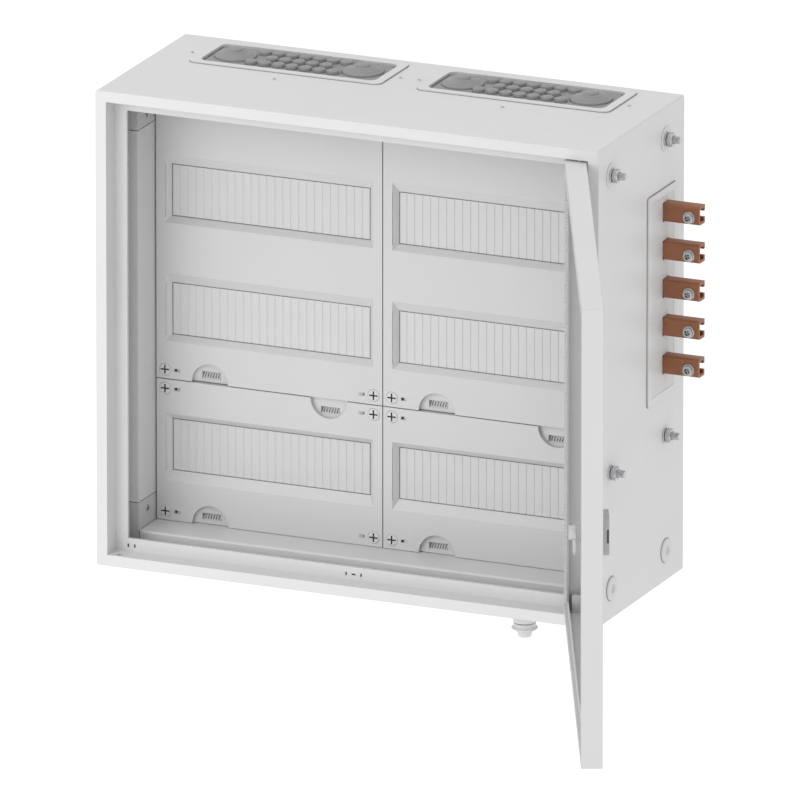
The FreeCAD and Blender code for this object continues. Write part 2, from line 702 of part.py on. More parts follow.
def half_disc(r, y0, y1, x, z, up):
    disc = rod("y", r, y1 - y0, x, y0, z)
    away = box(x - r, x + r, y0, y1, z - r, z) if up else box(x - r, x + r, y0, y1, z, z + r)
    return disc.cut(away)


def wedge(plane, points, length, x, y, z):
    """Prism of a triangle drawn in the YZ plane and run along X, or in the XY plane and run along Z."""
    if plane == "yz":
        corners, along = [FreeCAD.Vector(0, u, v) for u, v in points], FreeCAD.Vector(length, 0, 0)
    else:
        corners, along = [FreeCAD.Vector(u, v, 0) for u, v in points], FreeCAD.Vector(0, 0, length)
    solid = Part.Face(Part.makePolygon(corners + corners[:1])).extrude(along)
    solid.translate(FreeCAD.Vector(x, y, z))
    return solid


def pocket_foot(z, up):
    """Lower edge of the ribbed pocket of a grip."""
    return z - (0 if up else GRIP_R) + GRIP_POCKET_UP - GRIP_POCKET_H / 2


def grip_block(x, z, up):
    """What the pocket is cut from, behind the grip."""
    foot = pocket_foot(z, up)
    a = GRIP_POCKET_W / 2 + GRIP_WALL
    back = COVER_Y + GRIP_T + GRIP_POCKET_T + SHEET
    return box(x - a, x + a, COVER_Y, back, foot - GRIP_SILL_H, foot + GRIP_POCKET_H + GRIP_WALL)


def grip_pocket(x, z, up):
    """The pocket, and the sloping sill under it."""
    foot = pocket_foot(z, up)
    a, y0 = GRIP_POCKET_W / 2, COVER_Y + GRIP_T
    sill = wedge("yz", [(0, 0), (0, -GRIP_SILL_H), (GRIP_SILL_T, 0)], GRIP_POCKET_W, x - a, y0, foot)
    return [box(x - a, x + a, y0, y0 + GRIP_POCKET_T, foot, foot + GRIP_POCKET_H), sill]


def grip_ribs(x, z, up):
    """Leaning ribs that rise from the sill to the back of the pocket."""
    foot = pocket_foot(z, up)
    y0 = COVER_Y + GRIP_T
    ramp = wedge("yz", [(GRIP_SILL_T, 0), (GRIP_POCKET_T, 0), (GRIP_POCKET_T, GRIP_POCKET_H)], GRIP_POCKET_W,
                 x - GRIP_POCKET_W / 2, y0, foot)
    slabs = []
    for i in range(GRIP_RIBS):
        px = x + GRIP_RIB_PITCH * (i - (GRIP_RIBS - 1) / 2)
        slab = box(px - GRIP_RIB_W / 2, px + GRIP_RIB_W / 2, y0, y0 + GRIP_POCKET_T,
                   foot - GRIP_POCKET_H, foot + 2 * GRIP_POCKET_H)
        slab.rotate(FreeCAD.Vector(px, y0, foot + GRIP_POCKET_H / 2), FreeCAD.Vector(0, 1, 0), GRIP_RIB_LEAN)
        slabs.append(slab.common(ramp))
    return slabs


def peep(x, z, side):
    """Sight window beside a lock: deep near the lock, running out towards the middle of the cover."""
    corners = [(side * PEEP_FROM, 0), (side * (PEEP_FROM + PEEP_LONG), 0), (side * PEEP_FROM, PEEP_T)]
    return wedge("xy", corners, PEEP_H, x, COVER_Y, z - PEEP_H / 2)


def cover(row, field):
    foot, tall = COVER_ROWS[row]
    flip = row == "lower"
    x0, x1 = FIELDS[field] + COVER_GAP, FIELDS[field] + MODULE - COVER_GAP
    z0, z1 = foot + COVER_SPLIT, foot + tall - COVER_SPLIT
    xc = (x0 + x1) / 2
    shell = box(x0, x1, COVER_Y, COVER_Y + SKIRT, z0, z1)
    shell = shell.cut(box(x0 + SKIRT_T, x1 - SKIRT_T, COVER_Y + COVER_T, COVER_Y + SKIRT, z0 + SKIRT_T, z1 - SKIRT_T))
    slots = strip_centres(row)
    grips = [(FIELDS[field] + GRIP_SIDE, z0, True), (FIELDS[field] + MODULE - GRIP_SIDE, z1, False)]
    turns = list(turn_points(row, field).values())
    solid = [shell] + [slot_body(xc, z, flip) for z in slots]
    solid += [half_disc(GRIP_R + GRIP_WALL, COVER_Y, COVER_Y + GRIP_T + GRIP_WALL, x, z, up) for x, z, up in grips]
    solid += [grip_block(x, z, up) for x, z, up in grips]
    solid += [rod("y", TURN_BOSS_R, TURN_BOSS, x, COVER_Y, z) for x, z in turns]
    solid = fuse(solid).common(box(x0, x1, COVER_Y, COVER_Y + SKIRT, z0, z1))
    cuts = [funnel(xc, z, flip) for z in slots] + [slot_clear(xc, z) for z in slots]
    cuts += [step for z in slots for step in slot_steps(xc, z)]
    cuts += [half_disc(GRIP_R, COVER_Y, COVER_Y + GRIP_T, x, z, up) for x, z, up in grips]
    cuts += [rod("y", TURN_R + TURN_GAP, TURN_T - TURN_PROUD, x, COVER_Y, z) for x, z in turns]
    cuts += [rod("y", TURN_STEM_R + TURN_STEM_RUN, TURN_BOSS, x, COVER_Y, z) for x, z in turns]
    cuts += [cut for x, z, up in grips for cut in grip_pocket(x, z, up)]
    cuts += [peep(x, z, math.copysign(1, xc - x)) for x, z in turns]
    ribs = [s for x, z, up in grips for s in grip_ribs(x, z, up)]
    return fuse([solid.cut(cuts)] + ribs)


def blanking_strip(x, z):
    y0 = COVER_Y + SLOT_FALL
    a, h = SLOT_W / 2 - STRIP_GAP, SLOT_H / 2 - STRIP_GAP
    plate = box(x - a, x + a, y0, y0 + STRIP_T, z - h, z + h)
    rim = [e for e in plate.Edges if e.BoundBox.YMax < y0 + 1e-6]
    plate = plate.makeChamfer(STRIP_EDGE, rim)
    count = int(SLOT_W / GROOVE_PITCH)
    first = x - GROOVE_PITCH * (count - 1) / 2
    places = [first + GROOVE_PITCH * i for i in range(count)]
    groove = [(-GROOVE_W / 2, 0), (GROOVE_W / 2, 0), (0, GROOVE_T)]
    return plate.cut([wedge("xy", groove, 2 * h, px, y0, z - h) for px in places])


def quarter_turn(x, z):
    y0 = COVER_Y - TURN_PROUD
    head = rod("y", TURN_R, TURN_T, x, y0, z)
    a, w = TURN_CROSS / 2, TURN_CROSS_W / 2
    cross = [box(x - a, x + a, y0, y0 + TURN_CROSS_T, z - w, z + w),
             box(x - w, x + w, y0, y0 + TURN_CROSS_T, z - a, z + a)]
    stem = rod("y", TURN_STEM_R, TURN_STEM, x, y0 + TURN_T, z)
    return fuse([head.cut(cross), stem])


def covers():
    for row in COVER_ROWS:
        for field in FIELDS:
            xc = FIELDS[field] + MODULE / 2
            save(f"cover_{row}_{field}", [cover(row, field)])
            save(f"blanking_strips_{row}_{field}", [blanking_strip(xc, z) for z in strip_centres(row)])
            for (h, v), (x, z) in turn_points(row, field).items():
                save(f"turn_lock_{row}_{field}_{v}_{h}", [quarter_turn(x, z)])


# ---- busbars ----

def busbar(z):
    """C-section bar with its web to the front and its slot to the rear."""
    x0, x1 = -HALF_W + BAR_START, HALF_W + BAR_OUT
    y0 = FRONT + BAR_DEEP
    block = box(x0, x1, y0, y0 + BAR_D, z - BAR_H / 2, z + BAR_H / 2)
    along = [e for e in block.Edges if e.BoundBox.XLength > x1 - x0 - 1e-6 and e.BoundBox.YMax < y0 + 1e-6]
    block = block.makeFillet(BAR_R, along)
    core = box(x0, x1, y0 + BAR_T, y0 + BAR_D - BAR_T, z - BAR_H / 2 + BAR_T, z + BAR_H / 2 - BAR_T)
    slot = box(x0, x1, y0 + BAR_D - BAR_T, y0 + BAR_D, z - BAR_SLOT / 2, z + BAR_SLOT / 2)
    hole = rod("y", BAR_SHANK_R, BAR_T, x1 - BAR_SCREW_IN, y0, z - BAR_SCREW_LOW)
    return block.cut([core, slot, hole])


def busbar_screw(z):
    x = HALF_W + BAR_OUT - BAR_SCREW_IN
    y0 = FRONT + BAR_DEEP
    zs = z - BAR_SCREW_LOW
    head = rod("y", BAR_HEAD_R, BAR_HEAD, x, y0 - BAR_HEAD, zs)
    return fuse([head, rod("y", BAR_SHANK_R, BAR_SHANK, x, y0, zs)])


def busbar_support(x):
    y1 = FRONT + BAR_DEEP + BAR_D
    z0, z1 = BAR_Z[0] - BAR_H / 2 - SUPPORT_END, BAR_Z[-1] + BAR_H / 2 + SUPPORT_END
    a = SUPPORT_W / 2
    block = box(x - a, x + a, y1 - SUPPORT_FINGER, -SHEET, z0, z1)
    pockets = [box(x - a, x + a, y1 - SUPPORT_FINGER, y1, z - BAR_H / 2 - BAR_GAP, z + BAR_H / 2 + BAR_GAP)
               for z in BAR_Z]
    return block.cut(pockets)


def busbars():
    for number, z in enumerate(BAR_Z, 1):
        save(f"busbar_{number}", [busbar(z)])
    save("busbar_screws", [busbar_screw(z) for z in BAR_Z])
    save("busbar_supports", [busbar_support(HALF_W - x) for x in SUPPORTS_IN])


# ---- right side ----

def side_flange():
    y0, y1 = WINDOW_DEEP
    z0, z1 = WINDOW_UP
    plate = rounded("x", y1 - y0 + 2 * FLANGE_MARGIN, z1 - z0 + 2 * FLANGE_MARGIN, FLANGE_R, FLANGE_T,
                    HALF_W, FRONT + (y0 + y1) / 2, FOOT + (z0 + z1) / 2)
    return plate.cut(side_window(HALF_W, HALF_W + FLANGE_T, 0))


def insulating_plate():
    inner = side_window(HALF_W - SHEET - INSULATOR_T, HALF_W - SHEET, INSULATOR_MARGIN)
    plug = side_window(HALF_W - SHEET, HALF_W + FLANGE_T - INSULATOR_UNDER, -FIT_GAP)
    y0 = FRONT + BAR_DEEP
    holes = [box(HALF_W - SHEET - INSULATOR_T, HALF_W + FLANGE_T, y0 - BAR_GAP, y0 + BAR_D + BAR_GAP,
                 z - BAR_H / 2 - BAR_GAP, z + BAR_H / 2 + BAR_GAP) for z in BAR_Z]
    return fuse([inner, plug]).cut(holes)


def disc_t(z):
    """The upper studs carry a broad painted disc under the washer."""
    return DISC_T if z > 0 else 0.0


def coupling_stud(y, z):
    head = hexagon("x", STUD_HEAD_AF, STUD_HEAD, HALF_W - SHEET - STUD_HEAD, y, z)
    neck = SHEET + disc_t(z) + WASHER_T + NUT_T
    free = SHEET + STUD_OUT - neck
    return fuse([head, rod("x", STUD_NECK_R, neck, HALF_W - SHEET, y, z),
                 rod("x", STUD_R, free, HALF_W - SHEET + neck, y, z)])


def coupling_nut(y, z):
    x = HALF_W + disc_t(z) + WASHER_T
    return hexagon("x", NUT_AF, NUT_T, x, y, z).cut(rod("x", STUD_HOLE_R, NUT_T, x, y, z))


def coupling_washers(y, z):
    discs = [tube("x", WASHER_R, STUD_HOLE_R, WASHER_T, HALF_W + disc_t(z), y, z)]
    if disc_t(z):
        discs.append(tube("x", DISC_R, STUD_HOLE_R, DISC_T, HALF_W, y, z))
    return discs


def side_plug(y, z):
    head = rod("x", PLUG_R, PLUG_HEAD, HALF_W, y, z)
    head = head.cut(rod("x", PLUG_DIMPLE_R, PLUG_DIMPLE, HALF_W + PLUG_HEAD - PLUG_DIMPLE, y, z))
    return fuse([head, rod("x", PLUG_BODY_R, PLUG_BODY, HALF_W - PLUG_BODY, y, z)])


def right_side():
    save("side_flange", [side_flange()])
    save("insulating_plate", [insulating_plate()])
    save("coupling_studs", [coupling_stud(y, z) for y, z in coupling_points()])
    save("coupling_nuts", [coupling_nut(y, z) for y, z in coupling_points()])
    save("coupling_washers", [s for y, z in coupling_points() for s in coupling_washers(y, z)])
    save("side_plugs", [side_plug(y, z) for y, z in plug_points()])


# ---- cable entries ----

def entry_plate(x):
    plate = rounded("z", ENTRY_L, ENTRY_W, ENTRY_R, ENTRY_T, x, FRONT + ENTRY_DEEP, HALF_H)
    return plate.cut(entry_window(x, HALF_H, HALF_H + ENTRY_T, 0))


def stepped_cone(x, y, z):
    steps = []
    for r, h in CONE_RINGS:
        steps.append(rod("z", r, h, x, y, z))
        z += h
    return steps


def entry_membrane(x):
    y = FRONT + ENTRY_DEEP
    under = HALF_H - SHEET
    top = HALF_H + PAD_RISE
    pad = [entry_window(x, under - PAD_T, under, PAD_MARGIN), entry_window(x, under, top, -FIT_GAP)]
    for side in (-1, 1):
        pad += stepped_cone(x + side * CONE_OUT, y, top)
    for row, count in enumerate(GROMMETS):
        gy = y + GROMMET_ROW * (row - (len(GROMMETS) - 1) / 2)
        for i in range(count):
            pad.append(rod("z", GROMMET_R, GROMMET_H, x + GROMMET_PITCH * (i - (count - 1) / 2), gy, top))
    return fuse(pad)


def gland_body():
    x, y = gland_place()
    z = FOOT
    body = [rod("z", GLAND_BODY_R, GLAND_BODY, x, y, z - GLAND_BODY)]
    z -= GLAND_BODY
    body.append(rod("z", GLAND_RING_R, GLAND_RING, x, y, z - GLAND_RING))
    z -= GLAND_RING
    body.append(rod("z", GLAND_NECK_R, GLAND_NECK, x, y, z - GLAND_NECK))
    z -= GLAND_NECK
    body.append(rod("z", GLAND_THREAD_R, GLAND_THREAD, x, y, FOOT))
    return fuse(body).cut(rod("z", GLAND_BORE_R, FOOT + GLAND_THREAD - z, x, y, z))


def gland_nut():
    x, y = gland_place()
    z = FOOT + SHEET
    return hexagon("z", GLAND_NUT_AF, GLAND_NUT_T, x, y, z).cut(rod("z", GLAND_HOLE_R, GLAND_NUT_T, x, y, z))


def cable_entries():
    save("entry_plates", [entry_plate(x) for x in ENTRIES])
    save("entry_membranes", [entry_membrane(x) for x in ENTRIES])
    save("cable_gland", [gland_body()])
    save("gland_nut", [gland_nut()])


def main():
    os.makedirs("parts", exist_ok=True)
    enclosure()
    door()
    inner_frame()
    mounting()
    covers()
    busbars()
    right_side()
    cable_entries()


main()
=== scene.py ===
"""Wall-mounted distribution cabinet: finishes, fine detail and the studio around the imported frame."""

import json
import math

import bmesh
import bpy
from bpy.props import FloatProperty, FloatVectorProperty, PointerProperty
from mathutils import Matrix, Vector


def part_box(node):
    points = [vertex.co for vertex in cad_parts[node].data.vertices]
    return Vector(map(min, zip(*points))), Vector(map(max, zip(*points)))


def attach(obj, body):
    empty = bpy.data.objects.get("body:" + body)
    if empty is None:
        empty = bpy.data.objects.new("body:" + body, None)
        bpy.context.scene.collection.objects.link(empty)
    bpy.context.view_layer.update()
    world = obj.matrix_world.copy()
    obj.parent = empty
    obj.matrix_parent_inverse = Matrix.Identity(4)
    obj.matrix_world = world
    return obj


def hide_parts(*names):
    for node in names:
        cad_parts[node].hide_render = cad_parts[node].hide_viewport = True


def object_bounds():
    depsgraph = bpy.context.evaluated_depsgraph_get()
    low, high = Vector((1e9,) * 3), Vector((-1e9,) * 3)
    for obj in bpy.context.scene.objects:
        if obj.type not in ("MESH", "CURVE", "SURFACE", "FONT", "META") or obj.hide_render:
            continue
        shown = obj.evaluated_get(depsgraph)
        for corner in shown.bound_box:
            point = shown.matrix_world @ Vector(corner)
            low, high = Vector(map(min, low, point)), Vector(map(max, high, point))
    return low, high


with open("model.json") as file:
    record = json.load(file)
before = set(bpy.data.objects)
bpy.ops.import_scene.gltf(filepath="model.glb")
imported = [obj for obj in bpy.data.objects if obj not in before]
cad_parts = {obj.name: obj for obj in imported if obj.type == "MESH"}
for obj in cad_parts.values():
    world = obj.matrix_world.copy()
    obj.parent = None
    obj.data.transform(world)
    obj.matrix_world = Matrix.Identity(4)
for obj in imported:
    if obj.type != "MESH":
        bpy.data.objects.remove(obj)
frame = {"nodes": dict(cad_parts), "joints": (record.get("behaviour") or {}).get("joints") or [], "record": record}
CAD_BOX = [list(corner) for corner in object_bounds()]

bl_info = {
    "name": "Distribution Cabinet",
    "version": (1, 0, 0),
    "blender": (4, 5, 0),
    "location": "View3D > Sidebar > Cabinet",
    "description": "Finishes and fine detail for a wall-mounted distribution cabinet",
    "category": "Object",
}

NODES = frame["nodes"]
MOUNTS = {mount["name"]: mount for mount in frame["record"]["mounts"]}
MM = 0.001
QUARTER = math.pi / 2
ROUND = 40               # segments of a turned piece
FINE = 48                # segments of a larger or closer one
SMALL = 24               # segments of a small one
LAP = 0.1 * MM           # pieces of one mesh reach this far into each other
WALL_T = 1.5 * MM        # sheet of the cabinet
PLATE_LONG = 211.0 * MM  # cable entry plate
PLATE_R = 8.0 * MM       # its corners


# ---- user values ----

def shade(label, about, default):
    return FloatVectorProperty(name=label, description=about, subtype="COLOR", size=3, min=0.0, max=1.0,
                               default=default)


def length(label, about, default, low=0.0, high=0.2):
    return FloatProperty(name=label, description=about, default=default, min=low, max=high, precision=5,
                         unit="LENGTH", subtype="DISTANCE")


class CabinetFinishes(bpy.types.PropertyGroup):
    paint: shade("Sheet paint", "Powder coat on all sheet steel", (0.63, 0.63, 0.63))
    cover: shade("Cover plastic", "Moulded device covers", (0.56, 0.56, 0.56))
    strip: shade("Strip plastic", "Blanking strips in the slots", (0.57, 0.57, 0.57))
    turn: shade("Quarter-turn plastic", "Heads of the cover locks", (0.58, 0.58, 0.58))
    # a near-black colour for painted shade in recesses, drives and gaps, not a plastic of its own
    recess: shade("Recess plastic", "Seals, and the inside of recesses", (0.09, 0.09, 0.09))
    bracket: shade("Bracket plastic", "Corner brackets of the inner frame", (0.54, 0.54, 0.54))
    plug: shade("Plug plastic", "Blind plugs in the side", (0.60, 0.60, 0.60))
    lock: shade("Lock housing", "Door lock housing and insert", (0.40, 0.40, 0.40))
    membrane: shade("Membrane", "Soft cable entry membranes", (0.25, 0.25, 0.25))
    gasket: shade("Gasket", "Foam seal in the door", (0.42, 0.42, 0.42))
    insulator: shade("Insulator", "Busbar supports and side plate", (0.60, 0.60, 0.60))
    gland: shade("Gland plastic", "Cable gland and its nut", (0.62, 0.62, 0.62))
    zinc: shade("Zinc plate", "Screws, nuts, rails, posts and pins", (0.56, 0.565, 0.575))
    copper: shade("Copper", "Drawn busbars", (0.32, 0.137, 0.074))
    edge: length("Edge softness", "Radius that painted and moulded edges appear to have", 0.0006, 0.0, 0.005)


class StudSizes(bpy.types.PropertyGroup):
    pitch: length("Thread pitch", "Rise of one turn of the coupling stud's thread", 0.00125, 0.0005, 0.003)
    depth: length("Thread depth", "Crest to root of that thread", 0.00055, 0.0, 0.0015)
    chamfer: length("Nut chamfer", "Height of the turned corners of the nut", 0.0009, 0.0, 0.003)


class BarSizes(bpy.types.PropertyGroup):
    wall: length("Wall", "Thickness of the drawn section", 0.003, 0.0005, 0.006)
    slot: length("Slot", "Clear width of the slot at the rear", 0.0065, 0.001, 0.015)
    corner: length("Corner", "Radius of the front corners", 0.0038, 0.0005, 0.007)


class ClampScrewSizes(bpy.types.PropertyGroup):
    flange: length("Flange height", "Collar under the clamp screw's head", 0.0012, 0.0, 0.004)
    recess: length("Recess", "Depth of the clamp screw's recess", 0.0022, 0.0, 0.004)


# Sizes of the dark rings painted as the shadow gap around the entry plates, the flange and the plugs
class ShadowGapSizes(bpy.types.PropertyGroup):
    show: length("Shadow gap width", "How far a seal shows beyond its plate", 0.0006, 0.0, 0.004)
    height: length("Shadow gap height", "Height of a seal above the sheet", 0.0003, 0.0, 0.002)


class StripSizes(bpy.types.PropertyGroup):
    row: length("Row distance", "Distance between two strips of one cover", 0.125, 0.05, 0.25)
    pitch: length("Groove pitch", "Distance between break-off grooves", 0.00875, 0.002, 0.03)
    width: length("Groove width", "Width of a groove", 0.0015, 0.0002, 0.004)
    depth: length("Groove depth", "Depth of a groove", 0.00045, 0.0, 0.0015)
    clear: length("Edge clearance", "Extra gap around a strip", 0.0003, 0.0, 0.003)


class EntrySizes(bpy.types.PropertyGroup):
    cone_out: length("Cone distance", "Large cones, from the middle of their plate", 0.070)
    pitch: length("Nipple pitch", "Small nipples along a row", 0.015)
    row: length("Nipple rows", "Distance between rows of nipples", 0.018)
    radius: length("Nipple radius", "Radius of a small nipple", 0.0062)
    rise: length("Nipple height", "Height of a small nipple above the pad", 0.0042)


class StageValues(bpy.types.PropertyGroup):
    floor_drop: length("Floor drop", "Floor below the cabinet's lowest point", 0.45, 0.0, 2.0)
    floor_size: length("Floor size", "Side of the floor", 60.0, 1.0, 200.0)
    floor: shade("Floor", "Plain pale floor", (0.92, 0.92, 0.92))
    world: FloatProperty(name="Surround", description="Strength of the even surround", default=0.88, min=0.0)
    key: FloatProperty(name="Key light", description="Soft light from the front left", default=20.0, min=0.0,
                       unit="POWER")
    top: FloatProperty(name="Top light", description="Soft light from above", default=5.3, min=0.0,
                       unit="POWER")
    low: FloatProperty(name="Low light", description="Soft light from low at the front right", default=0.35,
                       min=0.0, unit="POWER")
    lens: FloatProperty(name="Lens", description="Focal length of the camera, in millimetres",
                        default=1241.354)


GROUPS = {
    "cabinet_finishes": CabinetFinishes,
    "cabinet_studs": StudSizes,
    "cabinet_bars": BarSizes,
    "cabinet_clamps": ClampScrewSizes,
    "cabinet_entries": EntrySizes,
    "cabinet_seals": ShadowGapSizes,
    "cabinet_strips": StripSizes,
    "cabinet_stage": StageValues,
}


# ---- finishes ----

class Recipe:
    """One finish: a shader and its textures, all in the piece's own coordinates."""

    def __init__(self, name, colour, roughness, metallic=0.0, specular=0.5):
        self.material = bpy.data.materials.new(name)
        self.material.use_nodes = True
        self.tree = self.material.node_tree
        self.shader = next(n for n in self.tree.nodes if n.type == "BSDF_PRINCIPLED")
        self.colour = tuple(colour)
        self.set("Base Color", (*self.colour, 1.0))
        self.set("Roughness", roughness)
        self.set("Metallic", metallic)
        self.set("Specular IOR Level", specular)
        self.place = self.node("ShaderNodeTexCoord").outputs["Object"]
        self.normal = None

    def set(self, socket, value):
        self.shader.inputs[socket].default_value = value

    def node(self, kind, **values):
        made = self.tree.nodes.new(kind)
        for key, value in values.items():
            setattr(made, key, value)
        return made

    def link(self, out, into):
        self.tree.links.new(out, into)

    def stretched(self, scale):
        mapping = self.node("ShaderNodeMapping")
        mapping.inputs["Scale"].default_value = scale
        self.link(self.place, mapping.inputs["Vector"])
        return mapping.outputs["Vector"]

    def noise(self, scale, detail=2.0, stretch=None):
        made = self.node("ShaderNodeTexNoise")
        made.inputs["Scale"].default_value = scale
        made.inputs["Detail"].default_value = detail
        self.link(self.stretched(stretch) if stretch else self.place, made.inputs["Vector"])
        return made.outputs["Fac"]

    def cells(self, scale, stretch=None):
        made = self.node("ShaderNodeTexVoronoi")
        made.inputs["Scale"].default_value = scale
        self.link(self.stretched(stretch) if stretch else self.place, made.inputs["Vector"])
        return made.outputs

    def span(self, value, low, high, start=0.3, end=0.7):
        made = self.node("ShaderNodeMapRange")
        for key, number in (("From Min", start), ("From Max", end), ("To Min", low), ("To Max", high)):
            made.inputs[key].default_value = number
        self.link(value, made.inputs["Value"])
        return made.outputs["Result"]

    def tint(self, value, low, high, start=0.3, end=0.7):
        """Colour that wanders between two shares of the finish's own colour."""
        ramp = self.node("ShaderNodeValToRGB")
        for stop, share, at in zip(ramp.color_ramp.elements, (low, high), (start, end)):
            stop.position = at
            stop.color = (*(min(1.0, c * share) for c in self.colour), 1.0)
        self.link(value, ramp.inputs["Fac"])
        self.link(ramp.outputs["Color"], self.shader.inputs["Base Color"])

    def rough(self, value, low, high, start=0.3, end=0.7):
        self.link(self.span(value, low, high, start, end), self.shader.inputs["Roughness"])

    def soften(self, radius):
        bevel = self.node("ShaderNodeBevel", samples=4)
        bevel.inputs["Radius"].default_value = radius
        self.normal = bevel.outputs["Normal"]
        self.link(self.normal, self.shader.inputs["Normal"])

    def bump(self, value, height, strength=1.0):
        made = self.node("ShaderNodeBump")
        made.inputs["Distance"].default_value = height
        made.inputs["Strength"].default_value = strength
        self.link(value, made.inputs["Height"])
        if self.normal:
            self.link(self.normal, made.inputs["Normal"])
        self.normal = made.outputs["Normal"]
        self.link(self.normal, self.shader.inputs["Normal"])


def powder_coat(look):
    """Powder coat: orange peel, faint flow marks and a little uneven gloss."""
    r = Recipe("powder_coat", look.paint, 0.42, specular=0.45)
    r.tint(r.noise(5.0, 3.0), 0.985, 1.012)
    r.rough(r.noise(70.0, 2.0), 0.38, 0.47)
    r.soften(look.edge)
    r.bump(r.noise(900.0, 2.0), 0.00005, 0.35)
    r.bump(r.noise(130.0, 1.0), 0.00012, 0.12)
    return r.material


def moulded(name, colour, edge, rough=(0.44, 0.54), grain=0.4):
    """Satin spark-eroded plastic: fine grain and slight flow shading from the mould."""
    r = Recipe(name, colour, rough[0], specular=0.4)
    r.tint(r.noise(9.0, 2.0, (1.0, 1.0, 0.35)), 0.982, 1.012)
    r.rough(r.noise(220.0, 2.0), *rough)
    r.soften(edge)
    r.bump(r.cells(1500.0)["Distance"], 0.00004, grain)
    return r.material


def painted_shade_finish(look):
    """Painted shade: matt dark plastic standing for the shade deep in recesses, drives and gaps."""
    r = Recipe("recess_plastic", look.recess, 0.6, specular=0.3)
    r.tint(r.noise(400.0, 2.0), 0.9, 1.1)
    r.bump(r.noise(1400.0, 2.0), 0.00005, 0.4)
    return r.material


def lock_moulding(look):
    """Glass-filled nylon: short fibres show as fine speckle."""
    r = Recipe("lock_plastic", look.lock, 0.5, specular=0.45)
    r.tint(r.cells(1700.0, (1.0, 1.0, 0.3))["Distance"], 0.94, 1.06, 0.1, 0.7)
    r.rough(r.noise(300.0, 2.0), 0.44, 0.56)
    r.soften(look.edge)
    r.bump(r.noise(1300.0, 3.0), 0.00006, 0.4)
    return r.material


def soft_membrane(look):
    """Soft thermoplastic rubber: matt, slightly blotched, with a fine matt bloom."""
    r = Recipe("membrane_rubber", look.membrane, 0.62, specular=0.35)
    r.tint(r.noise(60.0, 3.0), 0.965, 1.025)
    r.rough(r.noise(350.0, 2.0), 0.56, 0.7)
    r.set("Sheen Weight", 0.12)
    r.set("Sheen Roughness", 0.5)
    r.bump(r.noise(1100.0, 3.0), 0.00008, 0.45)
    return r.material


def foam_gasket(look):
    """Foamed-in-place seal: open skin with small bubbles."""
    r = Recipe("gasket_foam", look.gasket, 0.85, specular=0.25)
    bubbles = r.cells(900.0)["Distance"]
    r.tint(bubbles, 0.75, 1.35, 0.1, 0.6)
    r.bump(bubbles, 0.0003, 0.7)
    return r.material


def zinc_plate(look):
    """Bright zinc: faint spangle, fine turning marks, uneven sheen."""
    r = Recipe("zinc_plate", look.zinc, 0.3, metallic=1.0)
    r.tint(r.noise(240.0, 3.0), 0.94, 1.04)
    r.rough(r.noise(160.0, 3.0), 0.22, 0.38)
    r.soften(look.edge * 0.5)
    r.bump(r.noise(700.0, 3.0), 0.00003, 0.35)
    return r.material


def shaded_zinc(look):
    """Painted shade: the same plate made darker, for recesses and thread roots that lie in shade."""
    r = Recipe("zinc_in_recess", [c * 0.22 for c in look.zinc], 0.5, metallic=0.7)
    r.tint(r.noise(900.0, 2.0), 0.8, 1.2)
    r.rough(r.noise(500.0, 2.0), 0.42, 0.6)
    return r.material


def galvanised(look):
    """Rails, posts and the lock's cam: duller zinc with drawing lines along the strip."""
    r = Recipe("galvanised_strip", look.zinc, 0.4, metallic=0.9)
    r.tint(r.noise(40.0, 3.0, (0.1, 1.0, 1.0)), 0.93, 1.04)
    r.rough(r.noise(500.0, 2.0, (0.02, 1.0, 1.0)), 0.34, 0.48)
    r.bump(r.noise(1200.0, 2.0, (0.02, 1.0, 1.0)), 0.00003, 0.3)
    return r.material


def drawn_copper(look):
    """Bare copper with draw lines along the bar and patches of thin oxide."""
    r = Recipe("drawn_copper", look.copper, 0.46, metallic=0.55, specular=0.4)
    patches = r.noise(45.0, 4.0, (0.5, 1.0, 1.0))
    r.tint(patches, 0.9, 1.1)
    r.rough(patches, 0.40, 0.55)
    r.soften(look.edge * 0.6)
    r.bump(r.noise(1500.0, 2.0, (0.015, 1.0, 1.0)), 0.00004, 0.4)
    return r.material


def plastics(slot_name, field, **changes):
    return lambda look: moulded(slot_name, getattr(look, field), look.edge, **changes)


FINISHES = {
    "sheet_paint": powder_coat,
    "cover_plastic": plastics("cover_plastic", "cover"),
    "strip_plastic": plastics("strip_plastic", "strip", rough=(0.48, 0.56)),
    "turn_plastic": plastics("turn_plastic", "turn"),
    "bracket_plastic": plastics("bracket_plastic", "bracket"),
    "side_plastic": plastics("side_plastic", "plug"),
    "insulator": plastics("insulator_plate", "insulator", rough=(0.46, 0.58), grain=0.55),
    "gland_plastic": plastics("gland_plastic", "gland"),
    "lock_plastic": lock_moulding,
    "membrane": soft_membrane,
    "gasket": foam_gasket,
    "zinc": zinc_plate,
    "shaded_zinc": shaded_zinc,
    "copper": drawn_copper,
    "galvanised": galvanised,
    # painted shade for recesses, drives and gaps
    "recess": painted_shade_finish,
}
DRAWN_STRIP = ("din_rails", "rail_uprights", "cover_posts", "lock_cam", "lock_cam_nut")
made_finishes = {}


def finish(name):
    if name not in made_finishes:
        made_finishes[name] = FINISHES[name](bpy.context.scene.cabinet_finishes)
    return made_finishes[name]


# ---- mesh making ----

def aimed(axis):
    """Turns a piece drawn along +Z to run along another axis."""
    turn, about = {"x": (90, "Y"), "-y": (90, "X"), "-z": (180, "X")}[axis]
    return Matrix.Rotation(math.radians(turn), 4, about)


def ring(mesh, where, radius, height, segments):
    """Points around +Z, or the one point on it."""
    if radius == 0.0:
        return [mesh.verts.new(where @ Vector((0, 0, height)))]
    return [mesh.verts.new(where @ Vector((radius * math.cos(a), radius * math.sin(a), height)))
            for a in (2 * math.pi * i / segments for i in range(segments))]


def skin(mesh, rings):
    """Joins each ring to the next, and gives the faces band by band."""
    return [[mesh.faces.new([a[i], a[(i + 1) % len(a)], b[(i + 1) % len(a)], b[i]]) for i in range(len(a))]
            for a, b in zip(rings, rings[1:])]


